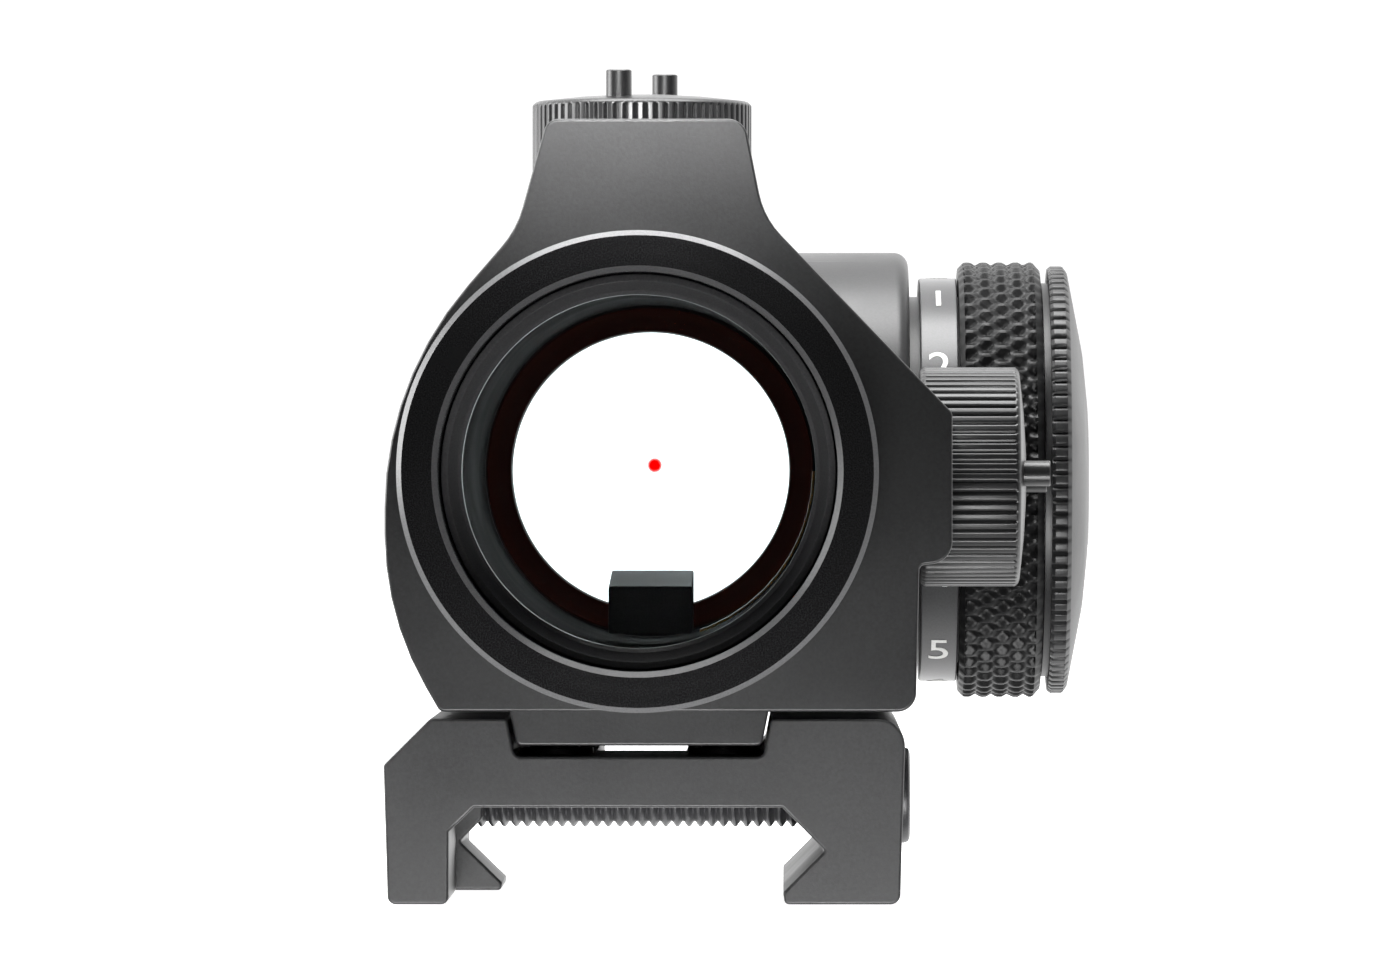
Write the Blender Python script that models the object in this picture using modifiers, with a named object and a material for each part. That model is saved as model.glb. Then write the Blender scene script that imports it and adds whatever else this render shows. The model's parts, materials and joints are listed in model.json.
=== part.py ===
"""A compact tube red dot sight on an accessory rail clamp.

x points to the dial side, y forward along the line of sight and z up. The origin lies on the rail seat,
straight under the tube axis. The named sizes are in millimetres, and MM turns them into metres. Heights
in the upper assembly are measured from the tube axis, and in the mount from the rail seat.
"""

import math

import bmesh
import bpy
from mathutils import Matrix, Vector

MM = 0.001
OBJECT_NAME = "red_dot_finder"

# How finely round shapes are cut.
STEPS_LARGE = 40
STEPS_MEDIUM = 28
STEPS_SMALL = 12
STEPS_SEAL = 28
ARC_STEP = math.radians(15)
SHARP_ANGLE = math.radians(35)
FLAT_ANGLE = math.radians(0.05)

# Tube and housing.
TUBE_Z = 19.8
REAR_END = -12.0
BODY_REAR = -7.0
BODY_FRONT = 30.5
TUBE_FRONT = 44.0
THREAD_FRONT = 47.0
THREAD_RADIUS = 13.5
FRONT_END = 50.0
RING_RADIUS = 14.1
RING_FRONT = -5.0
EDGE_CHAMFER = 0.27
TUBE_RADIUS = 14.7
RECESS_RADIUS = 11.85
SHOULDER_RADIUS = 10.9
BORE_RADIUS = 12.6
SHOULDER_REAR = -3.4
SHOULDER_FRONT = -2.4
GUARD_FRONT = -1.0
GUARD_TOP = 20.75
TURRET_END = 13.5
BASE_Z = -14.13
TONGUE_Z = -16.16
TONGUE_INSET = 0.05
BLOCK_TOP = -6.0
FAR = 60.0

# Inner optical tube, which tilts on its front ring.
INNER_OUTER = 11.8
INNER_INNER = 10.7
INNER_REAR = 0.0
INNER_FRONT = 46.0
PIVOT_Y = 40.0
CLEAR_RADIUS = 8.9
RETURN_POCKET_RADIUS = 1.6
RETURN_POCKET = (11.0, 16.2)
RETURN_ANGLE = math.radians(135)

# Turrets. Heights are measured from the seat of each cap.
TURRET_Y = 6.0
ELEVATION_SEAT = 15.95
WINDAGE_SEAT = 16.4
WINDAGE_Z = -0.33
CAP_RADIUS = 6.6
CAP_BORE = 5.3
CAP_LOW = 0.35
CAP_RIM = 6.05
CAP_DOME = 6.75
CAP_CEILING = 4.65
NECK_RADIUS = 5.0
NECK_BORE = 4.4
NECK_TOP = 3.35
NECK_FLOOR = 0.75
PEG_RADIUS = 0.75
PEG_TOP = 8.1
PEG_REACH = 3.84
ELEVATION_PEG_ANGLE = math.radians(69.7)
WINDAGE_PEG_ANGLE = math.radians(87)
PLUNGER_RADIUS = 1.6
PLUNGER_HOLE = 1.9
PLUNGER_HOLE_FLOOR = -5.5
PLUNGER_TOP = 2.35
PLUNGER_GAP = 0.3
DETENT_REACH = 3.0
DETENT_HOLE = 0.6
DETENT_FLOOR = -1.85
DETENT_SPRING_RADIUS = 0.35
DETENT_SPRING_WIRE = 0.09
BALL_RADIUS = 0.45

# Brightness dial and battery, on an axis along x. Heights are x.
DIAL_Y = 27.5
DIAL_Z = -0.55
BOSS_Z = -0.2
BOSS_RADIUS = 13.85
BOSS_FACE = 16.3
SPIGOT_RADIUS = 11.45
SPIGOT_BORE = 9.8
SPIGOT_END = 21.2
POCKET_FLOOR = 13.9
SEAL_GROOVE = (10.8, 17.3, 18.5)
CLIP_GROOVE = (10.9, 20.3, 20.9)
DIAL_DETENT_REACH = 12.1
KNOB_BORE = 11.75
NUMBER_RADIUS = 12.6
NUMBER_LOW = 16.95
KNOB_LOW = 19.4
KNOB_RADIUS = 13.6
KNOB_END = 24.5
CAP_GROOVE_RADIUS = 12.3
BATTERY_CAP_RADIUS = 13.35
BATTERY_CAP_LOW = 25.0
BATTERY_CAP_RIM = 26.2
BATTERY_CAP_END = 27.5
BATTERY_RADIUS = 10.0

# Mount. Heights are measured from the rail seat.
MOUNT_REAR = -7.0
MOUNT_FRONT = 30.0
MOUNT_TOP = 5.24
RECESS_FLOOR = 3.0
FOOT_Z = -5.71
BOLT_Y = 10.0
BOLT_Z = 0.15
BOLT_RADIUS = 1.95
BOLT_CHANNEL = 2.3
BOLT_HEAD_RADIUS = 2.95
JAW_LENGTH = 9.0
JAW_TOP = 2.2
JAW_GAP = 0.3
HEAD_HOLE_REAR = 13.1
PAD_RADIUS = 2.2
PAD_TOP = 3.35
SCREW_SINK_RADIUS = 2.7
SCREW_SINK_TOP = 1.6
SCREW_HOLE_RADIUS = 1.65
HOUSING_HOLE_RADIUS = 1.7
HOUSING_HOLE_TOP = 7.4
SCREW_PLACES = [(-5.0, 0.0), (5.0, 0.0), (-5.0, 22.0), (5.0, 22.0)]

# Each outline corner is (x, height, radius of its rounding).
HOUSING_OUTLINE = [
    (16.3, BASE_Z, 1.1),
    (16.5, -5.5, 0.4),
    (18.45, -5.3, 1.3),
    (18.45, 3.44, 0.5),
    (7.35, 14.95, 5.0),
    (6.2, GUARD_TOP, 1.2),
    (-5.37, GUARD_TOP, 0.9),
    (-7.17, 14.25, 6.0),
    (-14.95, 5.3, 20.0),
    (-14.95, -8.5, 18.0),
    (-11.7, BASE_Z, 0.5),
]
TONGUE_OUTLINE = [
    (-7.85, BASE_Z + 1.5, 0.0),
    (-7.15, TONGUE_Z, 0.4),
    (7.15, TONGUE_Z, 0.4),
    (7.85, BASE_Z + 1.5, 0.0),
]
MOUNT_OUTLINE = [
    (-14.8, FOOT_Z, 0.5),
    (-11.2, FOOT_Z, 0.3),
    (-11.2, -1.45, 0.0),
    (-9.7, 0.0, 0.0),
    (8.45, 0.0, 0.0),
    (10.97, -2.53, 0.2),
    (8.5, -5.0, 0.2),
    (8.6, FOOT_Z, 0.3),
    (15.4, FOOT_Z, 0.5),
    (15.74, MOUNT_TOP, 1.6),
    (7.95, MOUNT_TOP, 0.2),
    (7.45, RECESS_FLOOR, 0.6),
    (-7.45, RECESS_FLOOR, 0.6),
    (-7.95, MOUNT_TOP, 0.2),
    (-12.3, MOUNT_TOP, 0.3),
    (-15.05, 2.5, 0.3),
]
JAW_OUTLINE = [
    (-14.8, -5.45, 0.4),
    (-8.5, -5.45, 0.0),
    (-8.4, -5.0, 0.0),
    (-10.97, -2.5, 0.0),
    (-9.6, -1.1, 0.0),
    (-9.6, JAW_TOP, 0.3),
    (-14.8, JAW_TOP, 0.4),
]


def clear_scene():
    for old in list(bpy.data.objects):
        bpy.data.objects.remove(old, do_unlink=True)


def new_collection(name):
    made = bpy.data.collections.new(name)
    bpy.context.scene.collection.children.link(made)
    return made


def new_material(name, colour, roughness, metallic, transmission=0.0):
    made = bpy.data.materials.new(name)
    made.use_nodes = True
    shader = made.node_tree.nodes["Principled BSDF"]
    shader.inputs["Base Color"].default_value = (*colour, 1.0)
    shader.inputs["Roughness"].default_value = roughness
    shader.inputs["Metallic"].default_value = metallic
    shader.inputs["Transmission Weight"].default_value = transmission
    made.diffuse_color = (*colour, 1.0)
    return made


clear_scene()
PARTS = new_collection(OBJECT_NAME)
CUTTERS = new_collection(OBJECT_NAME + "_cutters")

ANODISED = ("anodised", (0.035, 0.035, 0.037), 0.45, 0.6, 0.0)
SATIN = ("satin_anodised", (0.05, 0.05, 0.052), 0.5, 0.6, 0.0)
MATT_BLACK = ("matt_black", (0.01, 0.01, 0.01), 0.8, 0.0, 0.0)
STEEL = ("steel", (0.45, 0.45, 0.46), 0.3, 1.0, 0.0)
BLACK_STEEL = ("black_steel", (0.03, 0.03, 0.032), 0.4, 0.9, 0.0)
BRASS = ("brass", (0.7, 0.52, 0.25), 0.35, 1.0, 0.0)
RUBBER = ("rubber", (0.012, 0.012, 0.012), 0.75, 0.0, 0.0)
GLASS = ("glass", (0.95, 0.97, 1.0), 0.02, 0.0, 1.0)
BOARD = ("board", (0.02, 0.12, 0.05), 0.6, 0.0, 0.0)
POLYIMIDE = ("polyimide", (0.45, 0.22, 0.04), 0.4, 0.0, 0.0)
LAMP_RED = ("lamp_red", (0.8, 0.02, 0.01), 0.3, 0.0, 0.0)


def place(obj, location=(0, 0, 0), along="z"):
    """Puts the object at a point in millimetres, with its own z axis along the given axis."""
    obj.location = Vector(location) * MM
    obj.rotation_euler = {"z": (0, 0, 0), "x": (0, math.pi / 2, 0), "y": (-math.pi / 2, 0, 0)}[along]
    return obj


def add(name, data, finish):
    """A visible part with its own material, or a hidden cutter where finish is None."""
    obj = bpy.data.objects.new(name, data)
    if finish is None:
        CUTTERS.objects.link(obj)
        obj.hide_render = True
        obj.display_type = "WIRE"
    else:
        PARTS.objects.link(obj)
        data.materials.append(new_material(f"{name}_{finish[0]}", *finish[1:]))
    return obj


def shade(mesh):
    mesh.shade_smooth()
    mesh.set_sharp_from_angle(angle=SHARP_ANGLE)


def baked(obj):
    """The object's evaluated mesh, with its loose seams welded and its flat faces made whole."""
    bpy.context.view_layer.update()
    graph = bpy.context.evaluated_depsgraph_get()
    mesh = bpy.data.meshes.new_from_object(obj.evaluated_get(graph))
    work = bmesh.new()
    work.from_mesh(mesh)
    bmesh.ops.remove_doubles(work, verts=work.verts, dist=0.001 * MM)
    bmesh.ops.dissolve_limit(work, angle_limit=FLAT_ANGLE, verts=work.verts, edges=work.edges)
    work.to_mesh(mesh)
    work.free()
    shade(mesh)
    return mesh


def turned(name, profile, finish, steps=STEPS_MEDIUM, closed=False):
    """A profile of (radius, height) points turned round z. It runs down its outer side."""
    guide_mesh = bpy.data.meshes.new(name + "_profile")
    count = len(profile)
    edges = [(index, (index + 1) % count) for index in range(count if closed else count - 1)]
    guide_mesh.from_pydata([(radius * MM, 0, height * MM) for radius, height in profile], edges, [])
    guide = bpy.data.objects.new(name + "_guide", guide_mesh)
    CUTTERS.objects.link(guide)
    screw = guide.modifiers.new("turn", "SCREW")
    screw.axis = "Z"
    screw.steps = steps
    screw.render_steps = steps
    screw.use_merge_vertices = True
    screw.merge_threshold = 0.00001
    mesh = baked(guide)
    bpy.data.objects.remove(guide)
    return add(name, mesh, finish)


def ring(name, outer, inner, low, high, finish, steps=STEPS_MEDIUM):
    profile = [(outer, high), (outer, low), (inner, low), (inner, high)]
    return turned(name, profile, finish, steps, closed=True)


def rod(name, radius, low, high, finish, steps=STEPS_SMALL):
    """A cylinder from low to high along its own z axis."""
    mesh = bpy.data.meshes.new(name)
    work = bmesh.new()
    bmesh.ops.create_cone(
        work,
        cap_ends=True,
        segments=steps,
        radius1=radius * MM,
        radius2=radius * MM,
        depth=(high - low) * MM,
        matrix=Matrix.Translation((0, 0, (high + low) / 2 * MM)),
    )
    work.to_mesh(mesh)
    work.free()
    shade(mesh)
    return add(name, mesh, finish)


def seal(name, radius, wire, height, steps=STEPS_SEAL, sides=5):
    """A rubber O-ring round z."""
    profile = []
    for side in range(sides):
        angle = math.pi / 2 - 2 * math.pi * side / sides
        profile.append((radius + wire * math.cos(angle), height + wire * math.sin(angle)))
    return turned(name, profile, RUBBER, steps, closed=True)


def ball(name, radius, height, finish=STEEL):
    mesh = bpy.data.meshes.new(name)
    work = bmesh.new()
    bmesh.ops.create_uvsphere(
        work,
        u_segments=8,
        v_segments=6,
        radius=radius * MM,
        matrix=Matrix.Translation((0, 0, height * MM)),
    )
    work.to_mesh(mesh)
    work.free()
    mesh.shade_smooth()
    return add(name, mesh, finish)


def box(name, low, high, finish):
    """A box between two corners, in the object's own frame."""
    size = [(top - bottom) * MM for bottom, top in zip(low, high)]
    centre = [(top + bottom) / 2 * MM for bottom, top in zip(low, high)]
    mesh = bpy.data.meshes.new(name)
    work = bmesh.new()
    matrix = Matrix.Translation(centre) @ Matrix.Diagonal((*size, 1))
    bmesh.ops.create_cube(work, size=1, matrix=matrix)
    work.to_mesh(mesh)
    work.free()
    return add(name, mesh, finish)


def rounded(corners):
    """The points of a closed outline, with an arc at each corner that has a radius."""
    points = []
    for index, (x, height, radius) in enumerate(corners):
        corner = Vector((x, height))
        if radius == 0:
            points.append(corner)
            continue
        back = (Vector(corners[index - 1][:2]) - corner).normalized()
        ahead = (Vector(corners[(index + 1) % len(corners)][:2]) - corner).normalized()
        half = back.angle(ahead) / 2
        centre = corner + (back + ahead).normalized() * radius / math.sin(half)
        start = corner + back * radius / math.tan(half) - centre
        turn = math.copysign(math.pi - 2 * half, ahead.cross(back))
        steps = max(2, round(abs(turn) / ARC_STEP))
        for step in range(steps + 1):
            points.append(centre + Matrix.Rotation(turn * step / steps, 2) @ start)
    return points


def extruded(name, corners, rear, front, finish):
    """An outline in the xz plane, extruded along y from rear to front."""
    curve = bpy.data.curves.new(name + "_outline", "CURVE")
    curve.dimensions = "2D"
    curve.fill_mode = "BOTH"
    curve.extrude = (front - rear) / 2 * MM
    spline = curve.splines.new("POLY")
    points = rounded(corners)
    spline.points.add(len(points) - 1)
    for point, (x, height) in zip(spline.points, points):
        point.co = (x * MM, height * MM, 0, 1)
    spline.use_cyclic_u = True
    guide = bpy.data.objects.new(name + "_guide", curve)
    CUTTERS.objects.link(guide)
    guide.rotation_euler = (math.pi / 2, 0, 0)
    guide.location = (0, (front + rear) / 2 * MM, 0)
    mesh = baked(guide)
    obj = add(name, mesh, finish)
    obj.matrix_world = guide.matrix_world
    bpy.data.objects.remove(guide)
    return obj


def coil(name, radius, wire, low, high, turns, per_turn=7):
    """A coil spring round z."""
    curve = bpy.data.curves.new(name, "CURVE")
    curve.dimensions = "3D"
    curve.bevel_depth = wire * MM
    curve.bevel_resolution = 1
    curve.use_fill_caps = True
    spline = curve.splines.new("POLY")
    count = turns * per_turn + 1
    spline.points.add(count - 1)
    for index, point in enumerate(spline.points):
        angle = 2 * math.pi * index / per_turn
        height = low + wire + (high - low - 2 * wire) * index / (count - 1)
        point.co = (radius * math.cos(angle) * MM, radius * math.sin(angle) * MM, height * MM, 1)
    return add(name, curve, STEEL)


def combine(obj, other, operation):
    """A live Boolean of the object with a helper, which is hidden."""
    made = obj.modifiers.new(f"{operation.lower()}_{other.name}", "BOOLEAN")
    made.operation = operation
    made.object = other
    return obj


def join(obj, *helpers):
    for helper in helpers:
        combine(obj, helper, "UNION")


def cut(obj, *helpers):
    for helper in helpers:
        combine(obj, helper, "DIFFERENCE")


TUBE = (0, 0, TUBE_Z)
TURRETS = {
    "elevation": ((0, TURRET_Y, TUBE_Z + ELEVATION_SEAT), "z"),
    "windage": ((WINDAGE_SEAT, TURRET_Y, TUBE_Z + WINDAGE_Z), "x"),
}
DIAL = (0, DIAL_Y, TUBE_Z + DIAL_Z)


def make_main_housing():
    housing = extruded("main_housing", HOUSING_OUTLINE, BODY_REAR, BODY_FRONT, ANODISED)
    housing.location.z = TUBE_Z * MM
    corner = (FAR, FAR, FAR)
    above_seat = box("cut_above_seat", (-FAR, GUARD_FRONT, ELEVATION_SEAT), corner, None)
    beside_seat = box("cut_beside_seat", (WINDAGE_SEAT, GUARD_FRONT, -FAR), corner, None)
    ahead = box("cut_ahead_of_turrets", (-FAR, TURRET_END, BLOCK_TOP), corner, None)
    cut(housing, *[place(helper, TUBE) for helper in (above_seat, beside_seat, ahead)])
    tongue_ends = (BODY_REAR + TONGUE_INSET, BODY_FRONT - TONGUE_INSET)
    tongue = extruded("add_tongue", TONGUE_OUTLINE, *tongue_ends, None)
    tongue.location.z = TUBE_Z * MM

    tube_profile = [
        (0, THREAD_FRONT),
        (THREAD_RADIUS, THREAD_FRONT),
        (THREAD_RADIUS, TUBE_FRONT),
        (TUBE_RADIUS - 0.3, TUBE_FRONT),
        (TUBE_RADIUS, TUBE_FRONT - 0.3),
        (TUBE_RADIUS, 1),
        (0, 1),
    ]
    ring_profile = [
        (0, RING_FRONT),
        (RING_RADIUS, RING_FRONT),
        (RING_RADIUS, REAR_END + EDGE_CHAMFER),
        (RING_RADIUS - EDGE_CHAMFER, REAR_END),
        (0, REAR_END),
    ]
    tube = place(turned("add_tube", tube_profile, None, STEPS_LARGE), TUBE, "y")
    eyepiece = place(turned("add_eyepiece_ring", ring_profile, None, STEPS_LARGE), TUBE, "y")
    boss_profile = [(0, BOSS_FACE), (BOSS_RADIUS - 0.9, BOSS_FACE), (BOSS_RADIUS - 0.25, BOSS_FACE - 0.25)]
    boss_profile += [(BOSS_RADIUS, BOSS_FACE - 0.9), (BOSS_RADIUS, 2), (0, 2)]
    boss = turned("add_dial_boss", boss_profile, None, STEPS_LARGE)
    place(boss, (0, DIAL_Y, TUBE_Z + BOSS_Z), "x")
    spigot_profile = [(0, SPIGOT_END), (SPIGOT_RADIUS, SPIGOT_END)]
    for depth, low, high in (CLIP_GROOVE, SEAL_GROOVE):
        spigot_profile += [(SPIGOT_RADIUS, high), (depth, high), (depth, low), (SPIGOT_RADIUS, low)]
    spigot_profile += [(SPIGOT_RADIUS, 15), (0, 15)]
    spigot = place(turned("add_dial_spigot", spigot_profile, None, STEPS_MEDIUM), DIAL, "x")
    join(housing, tongue, tube, eyepiece, boss, spigot)
    for side, spot in TURRETS.items():
        neck = rod(f"add_{side}_neck", NECK_RADIUS, -1, NECK_TOP, None, STEPS_MEDIUM)
        join(housing, place(neck, *spot))

    bore_profile = [
        (0, FAR),
        (BORE_RADIUS, FAR),
        (BORE_RADIUS, SHOULDER_FRONT),
        (SHOULDER_RADIUS, SHOULDER_FRONT),
        (SHOULDER_RADIUS, SHOULDER_REAR),
        (RECESS_RADIUS, SHOULDER_REAR),
        (RECESS_RADIUS, -20),
        (0, -20),
    ]
    bore = place(turned("cut_bore", bore_profile, None, STEPS_LARGE), TUBE, "y")
    pocket = rod("cut_switch_pocket", SPIGOT_BORE, POCKET_FLOOR, 30, None, STEPS_MEDIUM)
    cut(housing, bore, place(pocket, DIAL, "x"))
    for side, spot in TURRETS.items():
        profile = [(0, 9), (NECK_BORE, 9), (NECK_BORE, NECK_FLOOR)]
        profile += [(PLUNGER_HOLE, NECK_FLOOR), (PLUNGER_HOLE, PLUNGER_HOLE_FLOOR), (0, PLUNGER_HOLE_FLOOR)]
        well = turned(f"cut_{side}_well", profile, None, STEPS_SMALL * 2)
        detent = rod(f"cut_{side}_detent", DETENT_HOLE, DETENT_FLOOR, 1.5, None, 12)
        detent.data.transform(Matrix.Translation((-DETENT_REACH * MM, 0, 0)))
        cut(housing, place(well, *spot), place(detent, *spot))
    dial_detent = rod("cut_dial_detent", DETENT_HOLE, POCKET_FLOOR, 17, None, 12)
    cut(housing, place(dial_detent, dial_detent_spot(), "x"))
    spring_pocket = rod("cut_spring_pocket", RETURN_POCKET_RADIUS, *RETURN_POCKET, None)
    aim_return_spring(spring_pocket)
    cut(housing, spring_pocket)
    for number, (x, y) in enumerate(SCREW_PLACES):
        hole = rod(f"cut_housing_screw_{number + 1}", HOUSING_HOLE_RADIUS, 0, HOUSING_HOLE_TOP, None)
        cut(housing, place(hole, (x, y, 0)))


def dial_detent_spot():
    reach = DIAL_DETENT_REACH * math.sqrt(0.5)
    return (0, DIAL_Y + reach, TUBE_Z + DIAL_Z + reach)


def aim_return_spring(obj):
    """Points the object's z axis from the tube axis down to the left, opposite both plungers."""
    obj.location = Vector((0, TURRET_Y, TUBE_Z)) * MM
    obj.rotation_euler = (0, -RETURN_ANGLE, 0)


def make_optics():
    retainer = [(11.6, -6.0), (11.6, -8.3), (11.2, -8.3), (10.7, -7.1), (10.7, -6.0)]
    place(turned("rear_lens_retainer", retainer, SATIN, STEPS_LARGE, closed=True), TUBE, "y")
    lens = [(0, -4.2), (11.5, -4.2), (11.5, -5.5), (8, -5.6), (4, -5.66), (0, -5.7)]
    place(turned("rear_lens", lens, GLASS), TUBE, "y")
    place(seal("rear_lens_seal", 11.4, 0.2, -3.8), TUBE, "y")
    inner_sizes = (INNER_OUTER, INNER_INNER, INNER_REAR, INNER_FRONT)
    place(ring("inner_tube", *inner_sizes, MATT_BLACK, STEPS_LARGE), TUBE, "y")
    place(seal("pivot_seal", 12.2, 0.25, PIVOT_Y), TUBE, "y")
    rear = [(0, 41.7), (10.4, 41.2), (10.4, 39.8), (5, 39.35), (0, 39.2)]
    front = [(0, 43.2), (5, 43.3), (10.4, 43.6), (10.4, 41.5), (5, 41.88), (0, 42.0)]
    place(turned("objective_lens_rear", rear, GLASS), TUBE, "y")
    place(turned("objective_lens_front", front, GLASS), TUBE, "y")
    place(ring("objective_retainer", 10.45, CLEAR_RADIUS, 44.0, 46.0, MATT_BLACK), TUBE, "y")
    bezel = [
        (10.4, FRONT_END),
        (TUBE_RADIUS - 0.6, FRONT_END),
        (TUBE_RADIUS - 0.1, FRONT_END - 0.5),
        (TUBE_RADIUS - 0.1, TUBE_FRONT + 0.2),
        (13.8, TUBE_FRONT + 0.2),
        (13.8, THREAD_FRONT + 0.3),
        (10.2, THREAD_FRONT + 0.3),
    ]
    place(turned("front_bezel", bezel, ANODISED, STEPS_LARGE, closed=True), TUBE, "y")
    emitter_corners = [(13.0, -9.9, 0), (24.0, -9.9, 0), (24.0, -6.16, 0.2), (13.0, -7.04, 0.2)]
    emitter = extruded("emitter_block", emitter_corners, -2.55, 2.55, MATT_BLACK)
    emitter.rotation_euler.z = math.pi / 2
    emitter.location = Vector((0.4, 0, TUBE_Z)) * MM
    place(box("led", (0.0, 24.2, -7.6), (0.8, 24.6, -7.0), LAMP_RED), TUBE)
    ribbon = ring("flex_ribbon", 10.45, 10.3, 15.5, 17.5, POLYIMIDE, 48)
    keep = box("keep_flex_ribbon", (3.4, 0, -20), (20, 30, 0), None)
    combine(place(ribbon, TUBE, "y"), place(keep, TUBE), "INTERSECT")
    aim_return_spring(coil("return_spring", 1.05, 0.18, 12.4, 15.9, 5))


def make_turret(side, spot, peg_angle, seat):
    cap_profile = [
        (0, CAP_DOME),
        (3.0, CAP_DOME - 0.1),
        (CAP_RADIUS - 0.5, CAP_RIM + 0.25),
        (CAP_RADIUS, CAP_RIM - 0.1),
        (CAP_RADIUS, CAP_LOW + 0.2),
        (CAP_RADIUS - 0.2, CAP_LOW),
        (6.0, CAP_LOW),
        (6.0, CAP_LOW + 1.1),
        (CAP_BORE, CAP_LOW + 1.1),
        (CAP_BORE, CAP_CEILING),
        (0, CAP_CEILING),
    ]
    cap = place(turned(f"{side}_cap", cap_profile, SATIN), *spot)
    for number, turn in enumerate((0, math.pi)):
        peg = rod(f"add_{side}_peg_{number + 1}", PEG_RADIUS, CAP_RIM - 0.5, PEG_TOP, None)
        shift = (math.cos(peg_angle + turn), math.sin(peg_angle + turn), 0)
        peg.data.transform(Matrix.Translation(Vector(shift) * PEG_REACH * MM))
        join(cap, place(peg, *spot))
    place(seal(f"{side}_cap_seal", 5.45, 0.3, CAP_LOW + 0.55, steps=20), *spot)
    dial_profile = [(0, 3.95), (3.9, 3.95), (4.1, 3.75), (4.1, 1.05)]
    dial_profile += [(PLUNGER_HOLE, 1.05), (PLUNGER_HOLE, 2.95), (0, 2.95)]
    dial = place(turned(f"{side}_dial", dial_profile, BRASS, 24), *spot)
    cut(dial, place(box(f"cut_{side}_slot", (-5, -0.45, 3.45), (5, 0.45, 5), None), *spot))
    low = INNER_OUTER + PLUNGER_GAP - seat
    place(rod(f"{side}_plunger", PLUNGER_RADIUS, low, PLUNGER_TOP, STEEL), *spot)
    detent_ball = ball(f"{side}_detent_ball", BALL_RADIUS, 0.4)
    spring_size = (DETENT_SPRING_RADIUS, DETENT_SPRING_WIRE)
    detent_spring = coil(f"{side}_detent_spring", *spring_size, DETENT_FLOOR + 0.15, -0.2, 3)
    place(detent_ball, *spot)
    place(detent_spring, *spot)
    offset = detent_ball.rotation_euler.to_matrix() @ Vector((-DETENT_REACH * MM, 0, 0))
    detent_ball.location += offset
    detent_spring.location += offset


def make_brightness_dial():
    number_sizes = (NUMBER_RADIUS, KNOB_BORE, NUMBER_LOW, KNOB_LOW - 0.1)
    place(ring("number_ring", *number_sizes, SATIN, STEPS_LARGE), DIAL, "x")
    knob = [
        (12.5, KNOB_END),
        (KNOB_RADIUS - 0.4, KNOB_END),
        (KNOB_RADIUS, KNOB_END - 0.4),
        (KNOB_RADIUS, KNOB_LOW + 0.3),
        (KNOB_RADIUS - 0.3, KNOB_LOW),
        (KNOB_BORE, KNOB_LOW),
        (KNOB_BORE, 20.1),
        (12.6, 20.1),
        (12.6, 21.5),
        (2.5, 21.5),
        (2.5, 22.6),
        (11.6, 22.6),
        (11.6, 23.5),
        (12.5, 23.5),
    ]
    place(turned("dial_knob", knob, ANODISED, STEPS_LARGE, closed=True), DIAL, "x")
    cap = [
        (0, BATTERY_CAP_END),
        (4.7, BATTERY_CAP_END),
        (8.2, 27.15),
        (BATTERY_CAP_RADIUS - 0.3, BATTERY_CAP_RIM),
        (BATTERY_CAP_RADIUS, BATTERY_CAP_RIM - 0.3),
        (BATTERY_CAP_RADIUS, BATTERY_CAP_LOW),
        (CAP_GROOVE_RADIUS, BATTERY_CAP_LOW),
        (CAP_GROOVE_RADIUS, 24.6),
        (11.3, 24.6),
        (11.3, 22.9),
        (10.3, 22.9),
        (10.3, 26.3),
        (0, 26.3),
    ]
    place(turned("battery_cap", cap, ANODISED, STEPS_LARGE), DIAL, "x")
    place(seal("battery_cap_seal", 11.9, 0.4, 24.05), DIAL, "x")
    cell = [(0, 26.0), (9.9, 26.0), (BATTERY_RADIUS, 25.8), (BATTERY_RADIUS, 23.2), (8.9, 22.9), (0, 22.9)]
    place(turned("battery", cell, STEEL), DIAL, "x")
    place(coil("battery_contact_spring", 1.7, 0.2, 15.2, 22.6, 5), DIAL, "x")
    place(ring("switch_rotor", 4.2, 3.0, 15.4, 21.2, BRASS, 24), DIAL, "x")
    place(rod("switch_board", 9.4, 14.2, 15.0, BOARD, STEPS_MEDIUM), DIAL, "x")
    place(ball("dial_detent_ball", BALL_RADIUS, 16.35), dial_detent_spot(), "x")
    spring_size = (DETENT_SPRING_RADIUS, DETENT_SPRING_WIRE)
    spring = coil("dial_detent_spring", *spring_size, POCKET_FLOOR + 0.15, 15.75, 3)
    place(spring, dial_detent_spot(), "x")
    place(seal("dial_seal", 11.25, 0.36, 17.9), DIAL, "x")
    clip = ring("dial_retaining_ring", 12.2, 11.05, 20.4, 20.8, BLACK_STEEL)
    gap = box("cut_retaining_ring_gap", (-1.5, 5, 19), (1.5, 20, 22), None)
    cut(place(clip, DIAL, "x"), place(gap, DIAL, "x"))


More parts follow.
